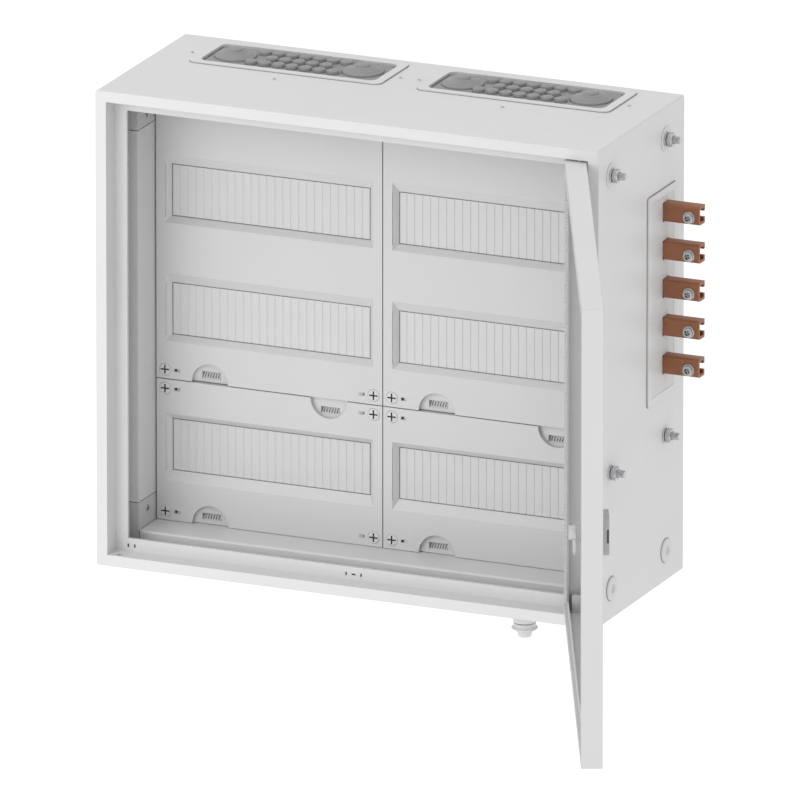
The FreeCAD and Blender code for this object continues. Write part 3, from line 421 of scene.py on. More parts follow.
def tube(mesh, rings):
    """Joins each ring to the next and closes both ends."""
    bands = skin(mesh, rings)
    return bands, [mesh.faces.new(list(reversed(rings[0]))), mesh.faces.new(rings[-1])]


def turned(mesh, profile, where, segments=ROUND):
    """Adds a body of revolution about +Z from (radius, height) points."""
    rings = [ring(mesh, where, radius, height, segments) for radius, height in profile]
    faces = []
    for low, high in zip(rings, rings[1:]):
        for i in range(segments):
            j = (i + 1) % segments
            corners = [low[i % len(low)], low[j % len(low)], high[j % len(high)], high[i % len(high)]]
            faces.append(mesh.faces.new(list(dict.fromkeys(corners))))
    return faces


def prism(mesh, outline, low, high, where, chamfer=0.0):
    """Adds a prism of a closed outline, with its top edge broken by a chamfer."""
    levels = [(low, 1.0), (high - chamfer, 1.0)]
    if chamfer:
        size = max(math.hypot(*p) for p in outline)
        levels.append((high, 1.0 - chamfer / size))
    rings = [[mesh.verts.new(where @ Vector((x * share, y * share, z))) for x, y in outline]
             for z, share in levels]
    bands, ends = tube(mesh, rings)
    return sum(bands, ends)


def slab(u, v, r, steps=6):
    """Outline of a rounded rectangle."""
    outline = []
    for k, (cx, cy) in enumerate(((u / 2 - r, v / 2 - r), (r - u / 2, v / 2 - r),
                                  (r - u / 2, r - v / 2), (u / 2 - r, r - v / 2))):
        for i in range(steps + 1):
            a = QUARTER * (k + i / steps)
            outline.append((cx + r * math.cos(a), cy + r * math.sin(a)))
    return outline


def arc(steps):
    """Angles of a quarter turn, without the first."""
    return [QUARTER * i / steps for i in range(1, steps + 1)]


def rim_strip(mesh, where, inner, outer, low, high):
    """Adds a flat ring between two outlines with as many points."""
    rings = [[mesh.verts.new(where @ Vector((x, y, z))) for x, y in outline]
             for outline, z in ((inner, low), (inner, high), (outer, high), (outer, low))]
    skin(mesh, rings + rings[:1])


def block(mesh, low, high, turn):
    """Adds a box between two corners, then turned."""
    corners = [mesh.verts.new(turn @ Vector([(low, high)[(k >> axis) & 1][axis] for axis in range(3)]))
               for k in range(8)]
    for side in ((0, 1, 3, 2), (4, 6, 7, 5), (0, 4, 5, 1), (2, 3, 7, 6), (0, 2, 6, 4), (1, 5, 7, 3)):
        mesh.faces.new([corners[k] for k in side])


def piece(name, mesh, finishes, body="cabinet", stands_for=(), smooth=35.0):
    """Makes the object, gives it its finishes and lets it ride on its body."""
    bmesh.ops.recalc_face_normals(mesh, faces=mesh.faces)
    data = bpy.data.meshes.new(name)
    mesh.to_mesh(data)
    mesh.free()
    if not data.vertices:
        raise RuntimeError(f"{name} has no mesh")
    for each in finishes:
        data.materials.append(finish(each))
    data.shade_smooth()
    data.set_sharp_from_angle(angle=math.radians(smooth))
    made = bpy.data.objects.new(name, data)
    bpy.context.scene.collection.objects.link(made)
    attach(made, body)
    if stands_for:
        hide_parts(*stands_for)


def door_pivot():
    """Middle of the hinge pins, and how far the door stands open."""
    hinge = next(joint for joint in frame["joints"] if joint["name"] == "door_hinge")
    return Vector(hinge["pos_m"]), math.radians(-hinge["range_deg"][0])


def stud_places():
    """Where the studs stand, as (y, z)."""
    mount = MOUNTS["side_coupling_studs"]
    _, y, z = mount["pos_m"]
    reach_y, reach_z = (mount["dims"][key] * MM / 2 for key in ("spacing_x_mm", "spacing_y_mm"))
    return [(y + a * reach_y, z + b * reach_z) for a in (-1, 1) for b in (-1, 1)]


# ---- pieces ----

class CABINET_OT_coat_frame(bpy.types.Operator):
    """Give every carried-over frame piece its finish"""
    bl_idname = "cabinet.coat_frame"
    bl_label = "Coat the frame"

    def execute(self, context):
        for name, node in NODES.items():
            slot_name = node.data.materials[0].name.split(".")[0]
            if slot_name not in FINISHES:
                raise RuntimeError(f"{name} has no finish for {slot_name}")
            coat = finish("galvanised" if name in DRAWN_STRIP else slot_name)
            for place in node.material_slots:
                place.material = coat
        return {"FINISHED"}


HEX = [math.pi / 3 * i for i in range(6)]        # corners of a hexagon
STUD_HEAD_R, STUD_HEAD_T = 7.4 * MM, 5.0 * MM
STUD_TIP, STUD_TIP_SLOPE = 1.0 * MM, 0.7
THREAD_ROUND, THREAD_STEPS = 24, 8       # segments around, and rings to one turn
THREAD_SHADE = 0.2                       # half the share of a turn that lies in the root, which gets painted shade
NUT_HALF, NUT_T = 6.5 * MM, 6.5 * MM     # half across flats, height
NUT_SINK, NUT_CLEAR = 0.6 * MM, 0.05 * MM
WASHER_R, WASHER_T = 8.0 * MM, WALL_T
DISC_R, DISC_T = 13.0 * MM, 0.8 * MM     # broad disc under the upper two
WASHER_CLEAR = 0.2 * MM


class CABINET_OT_coupling_studs(bpy.types.Operator):
    """Cut real threads on the four coupling studs and chamfer their nuts and washers"""
    bl_idname = "cabinet.coupling_studs"
    bl_label = "Coupling studs and nuts"

    def execute(self, context):
        sizes = context.scene.cabinet_studs
        low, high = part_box("coupling_studs")
        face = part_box("enclosure_shell")[1].x
        radius = MOUNTS["side_coupling_studs"]["dims"]["stud_r_mm"] * MM
        studs, nuts, washers = bmesh.new(), bmesh.new(), bmesh.new()
        for y, z in stud_places():
            upper = z > 0
            seat = face + (DISC_T if upper else 0.0)
            where = Matrix.Translation((0, y, z)) @ aimed("x")
            self.thread(studs, where, radius, seat, high.x, sizes)
            head = [(STUD_HEAD_R * math.cos(a), STUD_HEAD_R * math.sin(a)) for a in HEX]
            prism(studs, head, low.x, low.x + STUD_HEAD_T, where)
            self.nut(nuts, where, seat + WASHER_T, radius, sizes)
            self.washer(washers, where, seat, WASHER_R, WASHER_T, radius)
            if upper:
                for part in self.washer(washers, where, face, DISC_R, DISC_T, radius):
                    part.material_index = 1
        piece("coupling_studs_threaded", studs, ["zinc", "shaded_zinc"],
              stands_for=["coupling_studs"], smooth=50)
        piece("coupling_nuts_chamfered", nuts, ["zinc", "shaded_zinc"], stands_for=["coupling_nuts"])
        piece("coupling_washers_turned", washers, ["zinc", "sheet_paint"], stands_for=["coupling_washers"])
        return {"FINISHED"}

    @staticmethod
    def thread(mesh, where, radius, start, end, sizes):
        """Helical thread from inside the wall to a chamfered tip."""
        start -= WALL_T
        count = int((end - start) / sizes.pitch * THREAD_STEPS)
        rings = []
        for k in range(count + 1):
            along = start + (end - start) * k / count
            tip = max(0.0, along - (end - STUD_TIP)) * STUD_TIP_SLOPE
            points = []
            for i in range(THREAD_ROUND):
                turn = i / THREAD_ROUND
                wave = abs(((along - start) / sizes.pitch + turn) % 1.0 - 0.5) * 2
                r = radius - sizes.depth * (1 - wave) - tip
                points.append(mesh.verts.new(where @ Vector((r * math.cos(2 * math.pi * turn),
                                                             r * math.sin(2 * math.pi * turn), along))))
            rings.append(points)
        # the faces in the thread's root get the darker zinc as painted shade
        for k, band in enumerate(tube(mesh, rings)[0]):
            for i, face in enumerate(band):
                lead = ((end - start) * k / count / sizes.pitch + (i + 0.5) / THREAD_ROUND) % 1.0
                face.material_index = int(abs(lead - 0.5) < THREAD_SHADE)

    @staticmethod
    def nut(mesh, where, start, bore, sizes):
        """Hexagon with both faces turned to a cone, and a countersunk bore."""
        corner, edge = NUT_HALF / math.cos(math.pi / 6), NUT_HALF * 0.98
        levels = [(0.0, edge), (sizes.chamfer, corner), (NUT_T - sizes.chamfer, corner), (NUT_T, edge)]
        rings = []
        for h, cone in levels:
            points = []
            for i in range(FINE):
                a = 2 * math.pi * i / FINE
                flat = NUT_HALF / math.cos((a + math.pi / 6) % (math.pi / 3) - math.pi / 6)
                r = min(flat, cone)
                points.append(mesh.verts.new(where @ Vector((r * math.cos(a), r * math.sin(a), start + h))))
            rings.append(points)
        inside, mouth = bore + NUT_CLEAR, bore + NUT_SINK
        for h, r in ((NUT_T, mouth), (NUT_T - NUT_SINK, inside), (NUT_SINK, inside), (0.0, mouth)):
            rings.append(ring(mesh, where, r, start + h, FINE))
        # the chamfer next to the washer, the countersinks, the bore and the face on the washer get the darker zinc
        # as painted shade
        for step, band in enumerate(skin(mesh, rings + rings[:1])):
            for face in band:
                face.material_index = int(step == 0 or step >= len(levels))

    @staticmethod
    def washer(mesh, where, start, radius, height, bore):
        """Flat ring with both rims broken."""
        soft, inside, top = height * 0.3, bore + WASHER_CLEAR, start + height
        profile = [(inside, start), (radius - soft, start), (radius, start + soft), (radius, top - soft),
                   (radius - soft, top), (inside, top)]
        return turned(mesh, profile + profile[:1], where)


class CABINET_OT_busbars(bpy.types.Operator):
    """Draw the five C-section bars with their rounded corners"""
    bl_idname = "cabinet.busbars"
    bl_label = "Busbars"

    def execute(self, context):
        sizes = context.scene.cabinet_bars
        for number in range(1, 6):
            name = f"busbar_{number}"
            low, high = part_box(name)
            section = self.section(high.y - low.y, high.z - low.z, sizes)
            middle = (low.z + high.z) / 2
            mesh = bmesh.new()
            tube(mesh, [[mesh.verts.new((x, low.y + u, middle + v)) for u, v in section]
                        for x in (low.x, high.x)])
            piece(name + "_drawn", mesh, ["copper"], stands_for=[name], smooth=30)
        return {"FINISHED"}

    @staticmethod
    def section(deep, tall, sizes):
        """Closed outline of the C: web to the front, lips towards the slot at the rear."""
        def corner(u, v, radius, first, steps=6):
            return [(u + radius * math.cos(a), v + radius * math.sin(a))
                    for a in (first + QUARTER * i / steps for i in range(steps + 1))]

        half, wall, lip, r = tall / 2, sizes.wall, sizes.slot / 2, sizes.corner
        small, inner = r * 0.25, r * 0.3
        upper = [(deep, lip)] + corner(deep - small, half - small, small, 0.0)
        upper += corner(r, half - r, r, QUARTER)
        hollow = [(deep - wall, lip), (deep - wall, half - wall)]
        hollow += corner(wall + inner, half - wall - inner, inner, QUARTER)
        lower = [(u, -v) for u, v in reversed(upper)]
        return upper + lower + [(u, -v) for u, v in hollow] + list(reversed(hollow))


CLAMP_DROP = 2.0 * MM        # the screw stands this far below the middle of its bar
CLAMP_SHANK_R = 2.5 * MM
CLAMP_EDGE, CLAMP_SOFT, CLAMP_TAPER = 0.3 * MM, 0.9 * MM, 0.4 * MM
CLAMP_HEAD, CLAMP_RIM = 0.80, 0.55       # shares of the flange and of the head
BLADE_HALF, BLADE_TURN, BLADE_UNDER = 0.55 * MM, 0.35, 0.9 * MM


class CABINET_OT_clamp_screws(bpy.types.Operator):
    """Model the pan-head clamp screws on the busbars"""
    bl_idname = "cabinet.clamp_screws"
    bl_label = "Busbar clamp screws"

    def execute(self, context):
        sizes = context.scene.cabinet_clamps
        mesh = bmesh.new()
        low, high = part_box("busbar_screws")
        radius = (high.x - low.x) / 2
        for number in range(1, 6):
            bar_low, bar_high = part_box(f"busbar_{number}")
            z = (bar_low.z + bar_high.z) / 2 - CLAMP_DROP
            where = Matrix.Translation(((low.x + high.x) / 2, bar_low.y, z)) @ aimed("-y")
            tall = bar_low.y - low.y
            self.screw(mesh, where, radius, tall, high.y - bar_low.y, sizes)
        piece("busbar_clamp_screws", mesh, ["zinc", "shaded_zinc"], stands_for=["busbar_screws"])
        return {"FINISHED"}

    @staticmethod
    def screw(mesh, where, radius, tall, shank, sizes):
        """Flange, rounded head, cross recess and plain shank."""
        head, soft, edge = radius * CLAMP_HEAD, CLAMP_SOFT, CLAMP_EDGE
        rim = head * CLAMP_RIM
        profile = [(CLAMP_SHANK_R, -shank), (CLAMP_SHANK_R, 0.0), (radius - edge, 0.0), (radius, edge),
                   (radius, sizes.flange - edge), (radius - edge, sizes.flange), (head, sizes.flange),
                   (head, tall - soft)]
        profile += [(head - soft + soft * math.cos(a), tall - soft + soft * math.sin(a)) for a in arc(4)]
        turned(mesh, profile + [(rim, tall)], where)
        floor = tall - sizes.recess
        # the walls and floor of the recess get the darker zinc as painted shade
        for face in turned(mesh, [(rim, tall), (rim - CLAMP_TAPER, floor), (0.0, floor)], where):
            face.material_index = 1
        bmesh.ops.remove_doubles(mesh, verts=mesh.verts, dist=1e-6)
        reach = rim * 0.98
        blade = [(-reach, -BLADE_HALF), (reach, -BLADE_HALF), (reach, BLADE_HALF), (-reach, BLADE_HALF)]
        for turn in (BLADE_TURN, BLADE_TURN + QUARTER):
            spun = where @ Matrix.Rotation(turn, 4, "Z")
            prism(mesh, blade, floor - LAP, tall - BLADE_UNDER, spun)


MEMBRANE = slab(197.0 * MM, 68.0 * MM, 8 * MM)       # sheet clamped under the roof
PAD = slab(187.8 * MM, 58.8 * MM, 6 * MM)            # part that shows in the plate's window
PAD_EDGE, PAD_UNDER = 0.4 * MM, 0.5 * MM
SHEET_UNDER = 1.5 * MM
NIPPLE_ROWS = (7, 5, 7)
CONE_R = 21.5
CONE = ((CONE_R, 1.4), (21.2, 1.9), (20.6, 2.2), (18.6, 2.3), (18.0, 2.9), (12.6, 4.6), (12.0, 4.8),
        (11.6, 5.4), (8.4, 6.2), (7.9, 6.4), (7.6, 7.9), (7.1, 8.4), (6.4, 8.6), (0.0, 8.6))
FOOT = -0.2                  # cones and nipples start this far down in the pad
# a narrow dark ring of painted shade at the foot of each cone and nipple
CREASE_WIDE, CREASE_UP, CREASE_IN = 0.75 * MM, 0.06 * MM, 0.2 * MM


class CABINET_OT_entry_membranes(bpy.types.Operator):
    """Mould the two soft cable entry membranes, with their stepped cones and nipples"""
    bl_idname = "cabinet.entry_membranes"
    bl_label = "Cable entry membranes"

    def execute(self, context):
        sizes = context.scene.cabinet_entries
        low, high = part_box("entry_membranes")
        plates_low, plates_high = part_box("entry_plates")
        under, roof = low.z, plates_low.z
        top = roof - PAD_UNDER
        y = (low.y + high.y) / 2
        mesh = bmesh.new()
        for x in self.plate_middles(plates_low, plates_high):
            at = Matrix.Translation((x, y, 0.0))
            # the sheet around the pad, under the roof's edge, is coloured dark as painted shade
            for face in prism(mesh, MEMBRANE, under, roof - SHEET_UNDER, at):
                face.material_index = 1
            prism(mesh, PAD, roof - SHEET_UNDER - LAP, top, at, PAD_EDGE)
            for side in (-1, 1):
                self.cone(mesh, Matrix.Translation((x + side * sizes.cone_out, y, top)), high.z - top)
            for row, count in enumerate(NIPPLE_ROWS):
                gy = y + sizes.row * (row - 1)
                for i in range(count):
                    gx = x + sizes.pitch * (i - (count - 1) / 2)
                    self.nipple(mesh, Matrix.Translation((gx, gy, top)), sizes)
        piece("entry_membranes_moulded", mesh, ["membrane", "recess"],
              stands_for=["entry_membranes"], smooth=40)
        return {"FINISHED"}

    @staticmethod
    def plate_middles(low, high):
        return low.x + PLATE_LONG / 2, high.x - PLATE_LONG / 2

    @staticmethod
    def cone(mesh, where, tall):
        """Round foot, sloping shoulder and a blunt tip, with a shallow step between each."""
        share = tall / CONE[-1][1]
        profile = [(0.0, FOOT * share), (CONE_R * MM, FOOT * share)] + [(r * MM, h * share) for r, h in CONE]
        turned(mesh, profile, where, FINE)
        CABINET_OT_entry_membranes.painted_shade_ring(mesh, where, CONE_R * MM - CREASE_IN, FINE)

    @staticmethod
    def nipple(mesh, where, sizes):
        r, h, shoulder = sizes.radius, sizes.rise, 0.66
        profile = [(0.0, FOOT * MM), (r, FOOT * MM), (r, h * shoulder)]
        profile += [(r * (0.78 + 0.22 * math.cos(a)), h * (shoulder + 0.24 * math.sin(a))) for a in arc(4)]
        profile += [(r * 0.34, h * 0.91), (r * 0.26, h), (0.0, h)]
        turned(mesh, profile, where, SMALL)
        CABINET_OT_entry_membranes.painted_shade_ring(mesh, where, r - CREASE_IN, SMALL)

    @staticmethod
    def painted_shade_ring(mesh, where, radius, segments):
        """Narrow dark ring of painted shade in the corner at the foot of a cone or nipple."""
        out, up, down = radius + CREASE_WIDE, CREASE_UP, -LAP
        profile = [(radius, down), (out, down), (out, up), (radius, up), (radius, down)]
        for face in turned(mesh, profile, where, segments):
            face.material_index = 1


GLAND_ROUND = 64
GLAND_SHANK_R, GLAND_SINK = 8.0, 0.6             # its outline is in millimetres
GLAND_STEPS = ((GLAND_SHANK_R, 0.02), (11.6, 0.02), (12.0, 0.8), (12.0, 14.2), (11.6, 14.8), (10.3, 14.9),
               (10.3, 15.7), (11.2, 15.8), (11.5, 16.3), (11.4, 19.2), (11.7, 19.8), (12.8, 20.2),
               (13.4, 20.9), (13.4, 21.6), (12.8, 22.2), (11.0, 22.5), (9.4, 22.7), (8.8, 23.4), (8.6, 25.2),
               (7.8, 25.6), (7.4, 26.2))
GLAND_SHADE_BANDS = ((10.3, 14.9), (11.0, 22.5))      # where a band of painted shade starts: the groove below the nut and the underside of the flange


class CABINET_OT_cable_gland(bpy.types.Operator):
    """Turn the stepped cable gland under the cabinet"""
    bl_idname = "cabinet.cable_gland"
    bl_label = "Cable gland"

    def execute(self, context):
        x, y, _ = MOUNTS["cable_gland"]["pos_m"]
        bore = MOUNTS["cable_gland"]["dims"]["r_mm"]
        low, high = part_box("cable_gland")
        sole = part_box("enclosure_shell")[0].z
        where = Matrix.Translation((x, y, sole)) @ aimed("-z")
        inside, outside = (sole - high.z) / MM, (sole - low.z) / MM
        outline = [(bore + GLAND_SINK, inside), (GLAND_SHANK_R, inside), *GLAND_STEPS, (7.2, outside - 1.4),
                   (6.8, outside - 0.4), (6.2, outside), (bore + GLAND_SINK, outside), (bore, outside - 0.8),
                   (bore, inside + GLAND_SINK)]
        mesh = bmesh.new()
        faces = turned(mesh, [(r * MM, h * MM) for r, h in outline + outline[:1]], where, GLAND_ROUND)
        # the groove's wall and the flange's underside get the dark colour as painted shade
        for start in (outline.index(joint) * GLAND_ROUND for joint in GLAND_SHADE_BANDS):
            for face in faces[start:start + GLAND_ROUND]:
                face.material_index = 1
        piece("cable_gland_turned", mesh, ["gland_plastic", "recess"],
              stands_for=["cable_gland"], smooth=40)
        return {"FINISHED"}


ROOF_SCREWS = ((-114.75, 7.5), (114.75, 7.5), (0.0, 62.5))   # from a plate's middle, across and forward
ROOF_SCREW_R, ROOF_SHANK = 2.1 * MM, 3 * MM
BRACKET_SCREW = (251.0 * MM, 21.6 * MM, 207.5 * MM)    # out, behind the bracket's front, up
BRACKET_SCREW_R, BRACKET_SCREW_T, BRACKET_SHANK = 3.5 * MM, 0.8 * MM, 0.3 * MM
SHANK_R = 1.7 * MM


class CABINET_OT_small_screws(bpy.types.Operator):
    """Model the roof and bracket screws with their drives"""
    bl_idname = "cabinet.small_screws"
    bl_label = "Case screws"

    def execute(self, context):
        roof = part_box("enclosure_shell")[1].z
        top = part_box("case_screws")[1].z
        low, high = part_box("entry_plates")
        depth = (low.y + high.y) / 2
        mesh = bmesh.new()
        for x in CABINET_OT_entry_membranes.plate_middles(low, high):
            for dx, dy in ROOF_SCREWS:
                where = Matrix.Translation((x + dx * MM, depth - dy * MM, roof))
                self.pan(mesh, where, ROOF_SCREW_R, top - roof, ROOF_SHANK)
        out, behind, up = BRACKET_SCREW
        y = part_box("corner_brackets")[0].y + behind
        for side in (-1, 1):
            turn = aimed("x") if side < 0 else aimed("x") @ Matrix.Rotation(math.pi, 4, "X")
            for z in (-up, up):
                where = Matrix.Translation((side * out, y, z)) @ turn
                self.pan(mesh, where, BRACKET_SCREW_R, BRACKET_SCREW_T, BRACKET_SHANK)
        piece("case_screws_driven", mesh, ["zinc", "recess"], stands_for=["case_screws"])
        return {"FINISHED"}

    @staticmethod
    def pan(mesh, where, radius, tall, shank):
        """Rounded head with a drive in it, coloured dark as painted shade."""
        rim = radius * 0.45
        profile = [(SHANK_R, -shank), (SHANK_R, 0.0), (radius, 0.0), (radius, tall * 0.45)]
        profile += [(radius - tall * 0.5 * (1 - math.cos(a)), tall * (0.45 + 0.55 * math.sin(a)))
                    for a in arc(3)]
        turned(mesh, profile + [(rim, tall)], where, SMALL)
        for face in turned(mesh, [(rim, tall), (rim * 0.6, tall * 0.35), (0.0, tall * 0.3)], where, SMALL):
            face.material_index = 1


PLUG_NECK = ((0.0, -6.0), (9.6, -6.0), (10.0, -5.4), (10.0, 0.0))      # in millimetres
PLUG_SOFT = 1.6
PLUG_DIMPLE = ((5.4, 0.0), (4.9, 0.15), (4.4, 1.3), (3.2, 1.8), (0.0, 1.9))


class CABINET_OT_blind_plugs(bpy.types.Operator):
    """Mould the two round blind plugs in the side"""
    bl_idname = "cabinet.blind_plugs"
    bl_label = "Blind plugs"

    def execute(self, context):
        low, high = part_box("side_plugs")
        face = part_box("enclosure_shell")[1].x
        radius = (high.z - low.z) / 2
        z = (low.z + high.z) / 2
        tall = (high.x - face) / MM
        rim = radius / MM
        mesh = bmesh.new()
        outline = list(PLUG_NECK) + [(rim, 0.0), (rim, tall * 0.3)]
        outline += [(rim - PLUG_SOFT * (1 - math.cos(a)), tall * (0.3 + 0.7 * math.sin(a))) for a in arc(4)]
        outline += [(r, tall - under) for r, under in PLUG_DIMPLE]
        for y in (low.y + radius, high.y - radius):
            where = Matrix.Translation((face, y, z)) @ aimed("x")
            turned(mesh, [(r * MM, h * MM) for r, h in outline], where)
        piece("side_plugs_moulded", mesh, ["side_plastic"], stands_for=["side_plugs"])
        return {"FINISHED"}


FLANGE_R = 3 * MM
GAP_RING_UNDER = 1 * MM          # what a dark shadow ring loses in width to reach in under its plate
PLUG_GAP_RING = 0.7              # a plug's dark shadow ring shows this share of a plate's


class CABINET_OT_plate_shadow_gaps(bpy.types.Operator):
    """Lay the dark rings of painted shadow that show around the entry plates, the flange and the plugs"""
    bl_idname = "cabinet.plate_seals"
    bl_label = "Plate shadow gaps"

    def execute(self, context):
        show, high = context.scene.cabinet_seals.show, context.scene.cabinet_seals.height
        mesh = bmesh.new()
        low_p, high_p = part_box("entry_plates")
        for x in CABINET_OT_entry_membranes.plate_middles(low_p, high_p):
            at = Matrix.Translation((x, (low_p.y + high_p.y) / 2, low_p.z))
            self.around(mesh, at, PLATE_LONG, high_p.y - low_p.y, PLATE_R, show, high)
        low_f, high_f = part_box("side_flange")
        at = Matrix.Translation((low_f.x, (low_f.y + high_f.y) / 2, (low_f.z + high_f.z) / 2)) @ aimed("x")
        self.around(mesh, at, high_f.z - low_f.z, high_f.y - low_f.y, FLANGE_R, show, high)
        low_s, high_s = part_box("side_plugs")
        radius = (high_s.z - low_s.z) / 2
        for y in (low_s.y + radius, high_s.y - radius):
            at = Matrix.Translation((low_f.x, y, (low_s.z + high_s.z) / 2)) @ aimed("x")
            inner, outer = radius - GAP_RING_UNDER, radius + show * PLUG_GAP_RING
            turned(mesh, [(inner, 0.0), (outer, 0.0), (outer, high), (inner, high), (inner, 0.0)], at)
        piece("plate_seals", mesh, ["recess"])
        return {"FINISHED"}

    @staticmethod
    def around(mesh, at, u, v, r, show, high):
        """Flat dark ring of painted shadow from under the plate's rim to a little beyond it."""
        inner = slab(u - GAP_RING_UNDER, v - GAP_RING_UNDER, r)
        rim_strip(mesh, at, inner, slab(u + 2 * show, v + 2 * show, r + show), 0.0, high)


STRIP_EDGE = 0.3 * MM
GROOVE_ROOT = 0.2            # half the root, as a share of the groove's width


class CABINET_OT_blanking_strips(bpy.types.Operator):
    """Mould the blanking strips with their break-off grooves"""
    bl_idname = "cabinet.blanking_strips"
    bl_label = "Blanking strips"

    def execute(self, context):
        sizes = context.scene.cabinet_strips
        for name in sorted(n for n in NODES if n.startswith("blanking_strips_")):
            cover = name.replace("blanking_strips", "cover")
            low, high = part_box(name)
            count = 2 if "upper" in name else 1
            tall = high.z - low.z - sizes.row * (count - 1)
            mesh = bmesh.new()
            for row in range(count):
                middle = low.z + tall / 2 + sizes.row * row
                self.strip(mesh, low, high, middle, tall, sizes)
            piece(name + "_moulded", mesh, ["strip_plastic"], body=cover, stands_for=[name], smooth=20)
        return {"FINISHED"}

    @staticmethod
    def strip(mesh, low, high, middle, tall, sizes):
        """One strip: the grooved outline runs from its foot to its top."""
        left, right = low.x + sizes.clear, high.x - sizes.clear
        half = tall / 2 - sizes.clear
        centre = (low.x + high.x) / 2
        count = int((right - left) / sizes.pitch)
        mouth, root = sizes.width / 2, sizes.width * GROOVE_ROOT
        outline = [(left, high.y), (left, low.y + STRIP_EDGE), (left + STRIP_EDGE, low.y)]
        for i in range(count):
            x = centre + sizes.pitch * (i - (count - 1) / 2)
            outline += [(x - mouth, low.y), (x - root, low.y + sizes.depth),
                        (x + root, low.y + sizes.depth), (x + mouth, low.y)]
        outline += [(right - STRIP_EDGE, low.y), (right, low.y + STRIP_EDGE), (right, high.y)]
        tube(mesh, [[mesh.verts.new((x, y, middle + z)) for x, y in outline] for z in (-half, half)])


NOTCH_X, NOTCH_Y, NOTCH_HALF = (0.4 * MM, 5.4 * MM), (0.2 * MM, 2.6 * MM), 6.9 * MM


class CABINET_OT_lock_notch(bpy.types.Operator):
    """Put dark blocks of painted shade at both ends of the notch in the lock housing"""
    bl_idname = "cabinet.lock_notch"
    bl_label = "Lock notch"

    def execute(self, context):
        pivot, opened = door_pivot()
        back = Matrix.Translation(pivot) @ Matrix.Rotation(opened, 4, "Z") @ Matrix.Translation(-pivot)
        shut = [back.inverted() @ vertex.co for vertex in NODES["lock_housing"].data.vertices]
        low = Vector(min(p[axis] for p in shut) for axis in range(3))
        high = Vector(max(p[axis] for p in shut) for axis in range(3))
        middle = (low.z + high.z) / 2
        mesh = bmesh.new()
        near, far = NOTCH_X
        for x0, x1 in ((low.x + near, low.x + far), (high.x - far, high.x - near)):
            block(mesh, Vector((x0, low.y + NOTCH_Y[0], middle - NOTCH_HALF)),
                  Vector((x1, low.y + NOTCH_Y[1], middle + NOTCH_HALF)), back)
        piece("lock_notch_lining", mesh, ["recess"], body="door")
        return {"FINISHED"}


HEAD_T, HEAD_SOFT = 3.5 * MM, 0.5 * MM
STEM_R, STEM_EDGE, STEM_CHAMFER = 2.5 * MM, 0.2 * MM, 0.3 * MM
CROSS_ARM, CROSS_HALF, CROSS_DEEP, CROSS_TAPER = 4.6 * MM, 0.75 * MM, 2.4 * MM, 0.96


class CABINET_OT_cover_locks(bpy.types.Operator):
    """Mould the sixteen quarter-turn heads with rounded rims and a deep cross"""
    bl_idname = "cabinet.cover_locks"
    bl_label = "Quarter-turn locks"

    def execute(self, context):
        for name in sorted(n for n in NODES if n.startswith("turn_lock_")):
            low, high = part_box(name)
            at = Matrix.Translation(((low.x + high.x) / 2, low.y, (low.z + high.z) / 2)) @ aimed("-y")
            mesh = bmesh.new()
            self.head(mesh, at, (high.x - low.x) / 2, high.y - low.y)
            piece(name + "_head", mesh, ["turn_plastic", "recess"], body=name, stands_for=[name])
        return {"FINISHED"}

    @staticmethod
    def head(mesh, where, radius, long):
        """A disc with a stem, its top filled between the rim and the outline of the cross."""
        soft = HEAD_SOFT
        side = [(radius, -soft)]
        side += [(radius - soft + soft * math.cos(a), -soft + soft * math.sin(a)) for a in arc(3)]
        stem = [(0.0, -long), (STEM_R - STEM_EDGE, -long), (STEM_R, STEM_CHAMFER - long), (STEM_R, -HEAD_T),
                (radius, -HEAD_T)]
        cross = []
        for k in range(4):
            a = QUARTER * k
            for u, v in ((CROSS_HALF, -CROSS_HALF), (CROSS_ARM, -CROSS_HALF), (CROSS_ARM, CROSS_HALF)):
                cross.append((u * math.cos(a) - v * math.sin(a), u * math.sin(a) + v * math.cos(a)))
        turned(mesh, stem + side, where, FINE)
        bmesh.ops.remove_doubles(mesh, verts=mesh.verts, dist=1e-7)
        outer = ring(mesh, where, radius - soft, 0.0, FINE)
        inner = [mesh.verts.new(where @ Vector((x, y, 0.0))) for x, y in cross]
        floor = [mesh.verts.new(where @ Vector((x * CROSS_TAPER, y * CROSS_TAPER, -CROSS_DEEP)))
                 for x, y in cross]
        edges = [mesh.edges.new(pair) for loop in (outer, inner) for pair in zip(loop, loop[1:] + loop[:1])]
        bmesh.ops.triangle_fill(mesh, use_beauty=True, edges=edges)
        # the cross's walls and floor get the dark colour as painted shade
        for face in skin(mesh, [inner, floor])[0] + [mesh.faces.new(floor)]:
            face.material_index = 1
        bmesh.ops.remove_doubles(mesh, verts=mesh.verts, dist=1e-6)


# ---- stage ----

AIM = Vector((0.0, -0.11, 0.0))
LIGHTS = (("key", (-1.1, -2.2, 0.9), 1.6), ("top", (0.1, -0.5, 2.2), 1.8), ("low", (1.3, -2.4, -0.3), 1.2))
VIEW_TURN, VIEW_LIFT = 23.4544, 17.0375                  # degrees round to the right, and up
VIEW_RIGHT, VIEW_DOWN, VIEW_BACK = 0.0102868, 0.0702984, 27.80956
SENSOR, CLIP = 36.0, (1.0, 200.0)
FLOOR_GLOW = 0.22


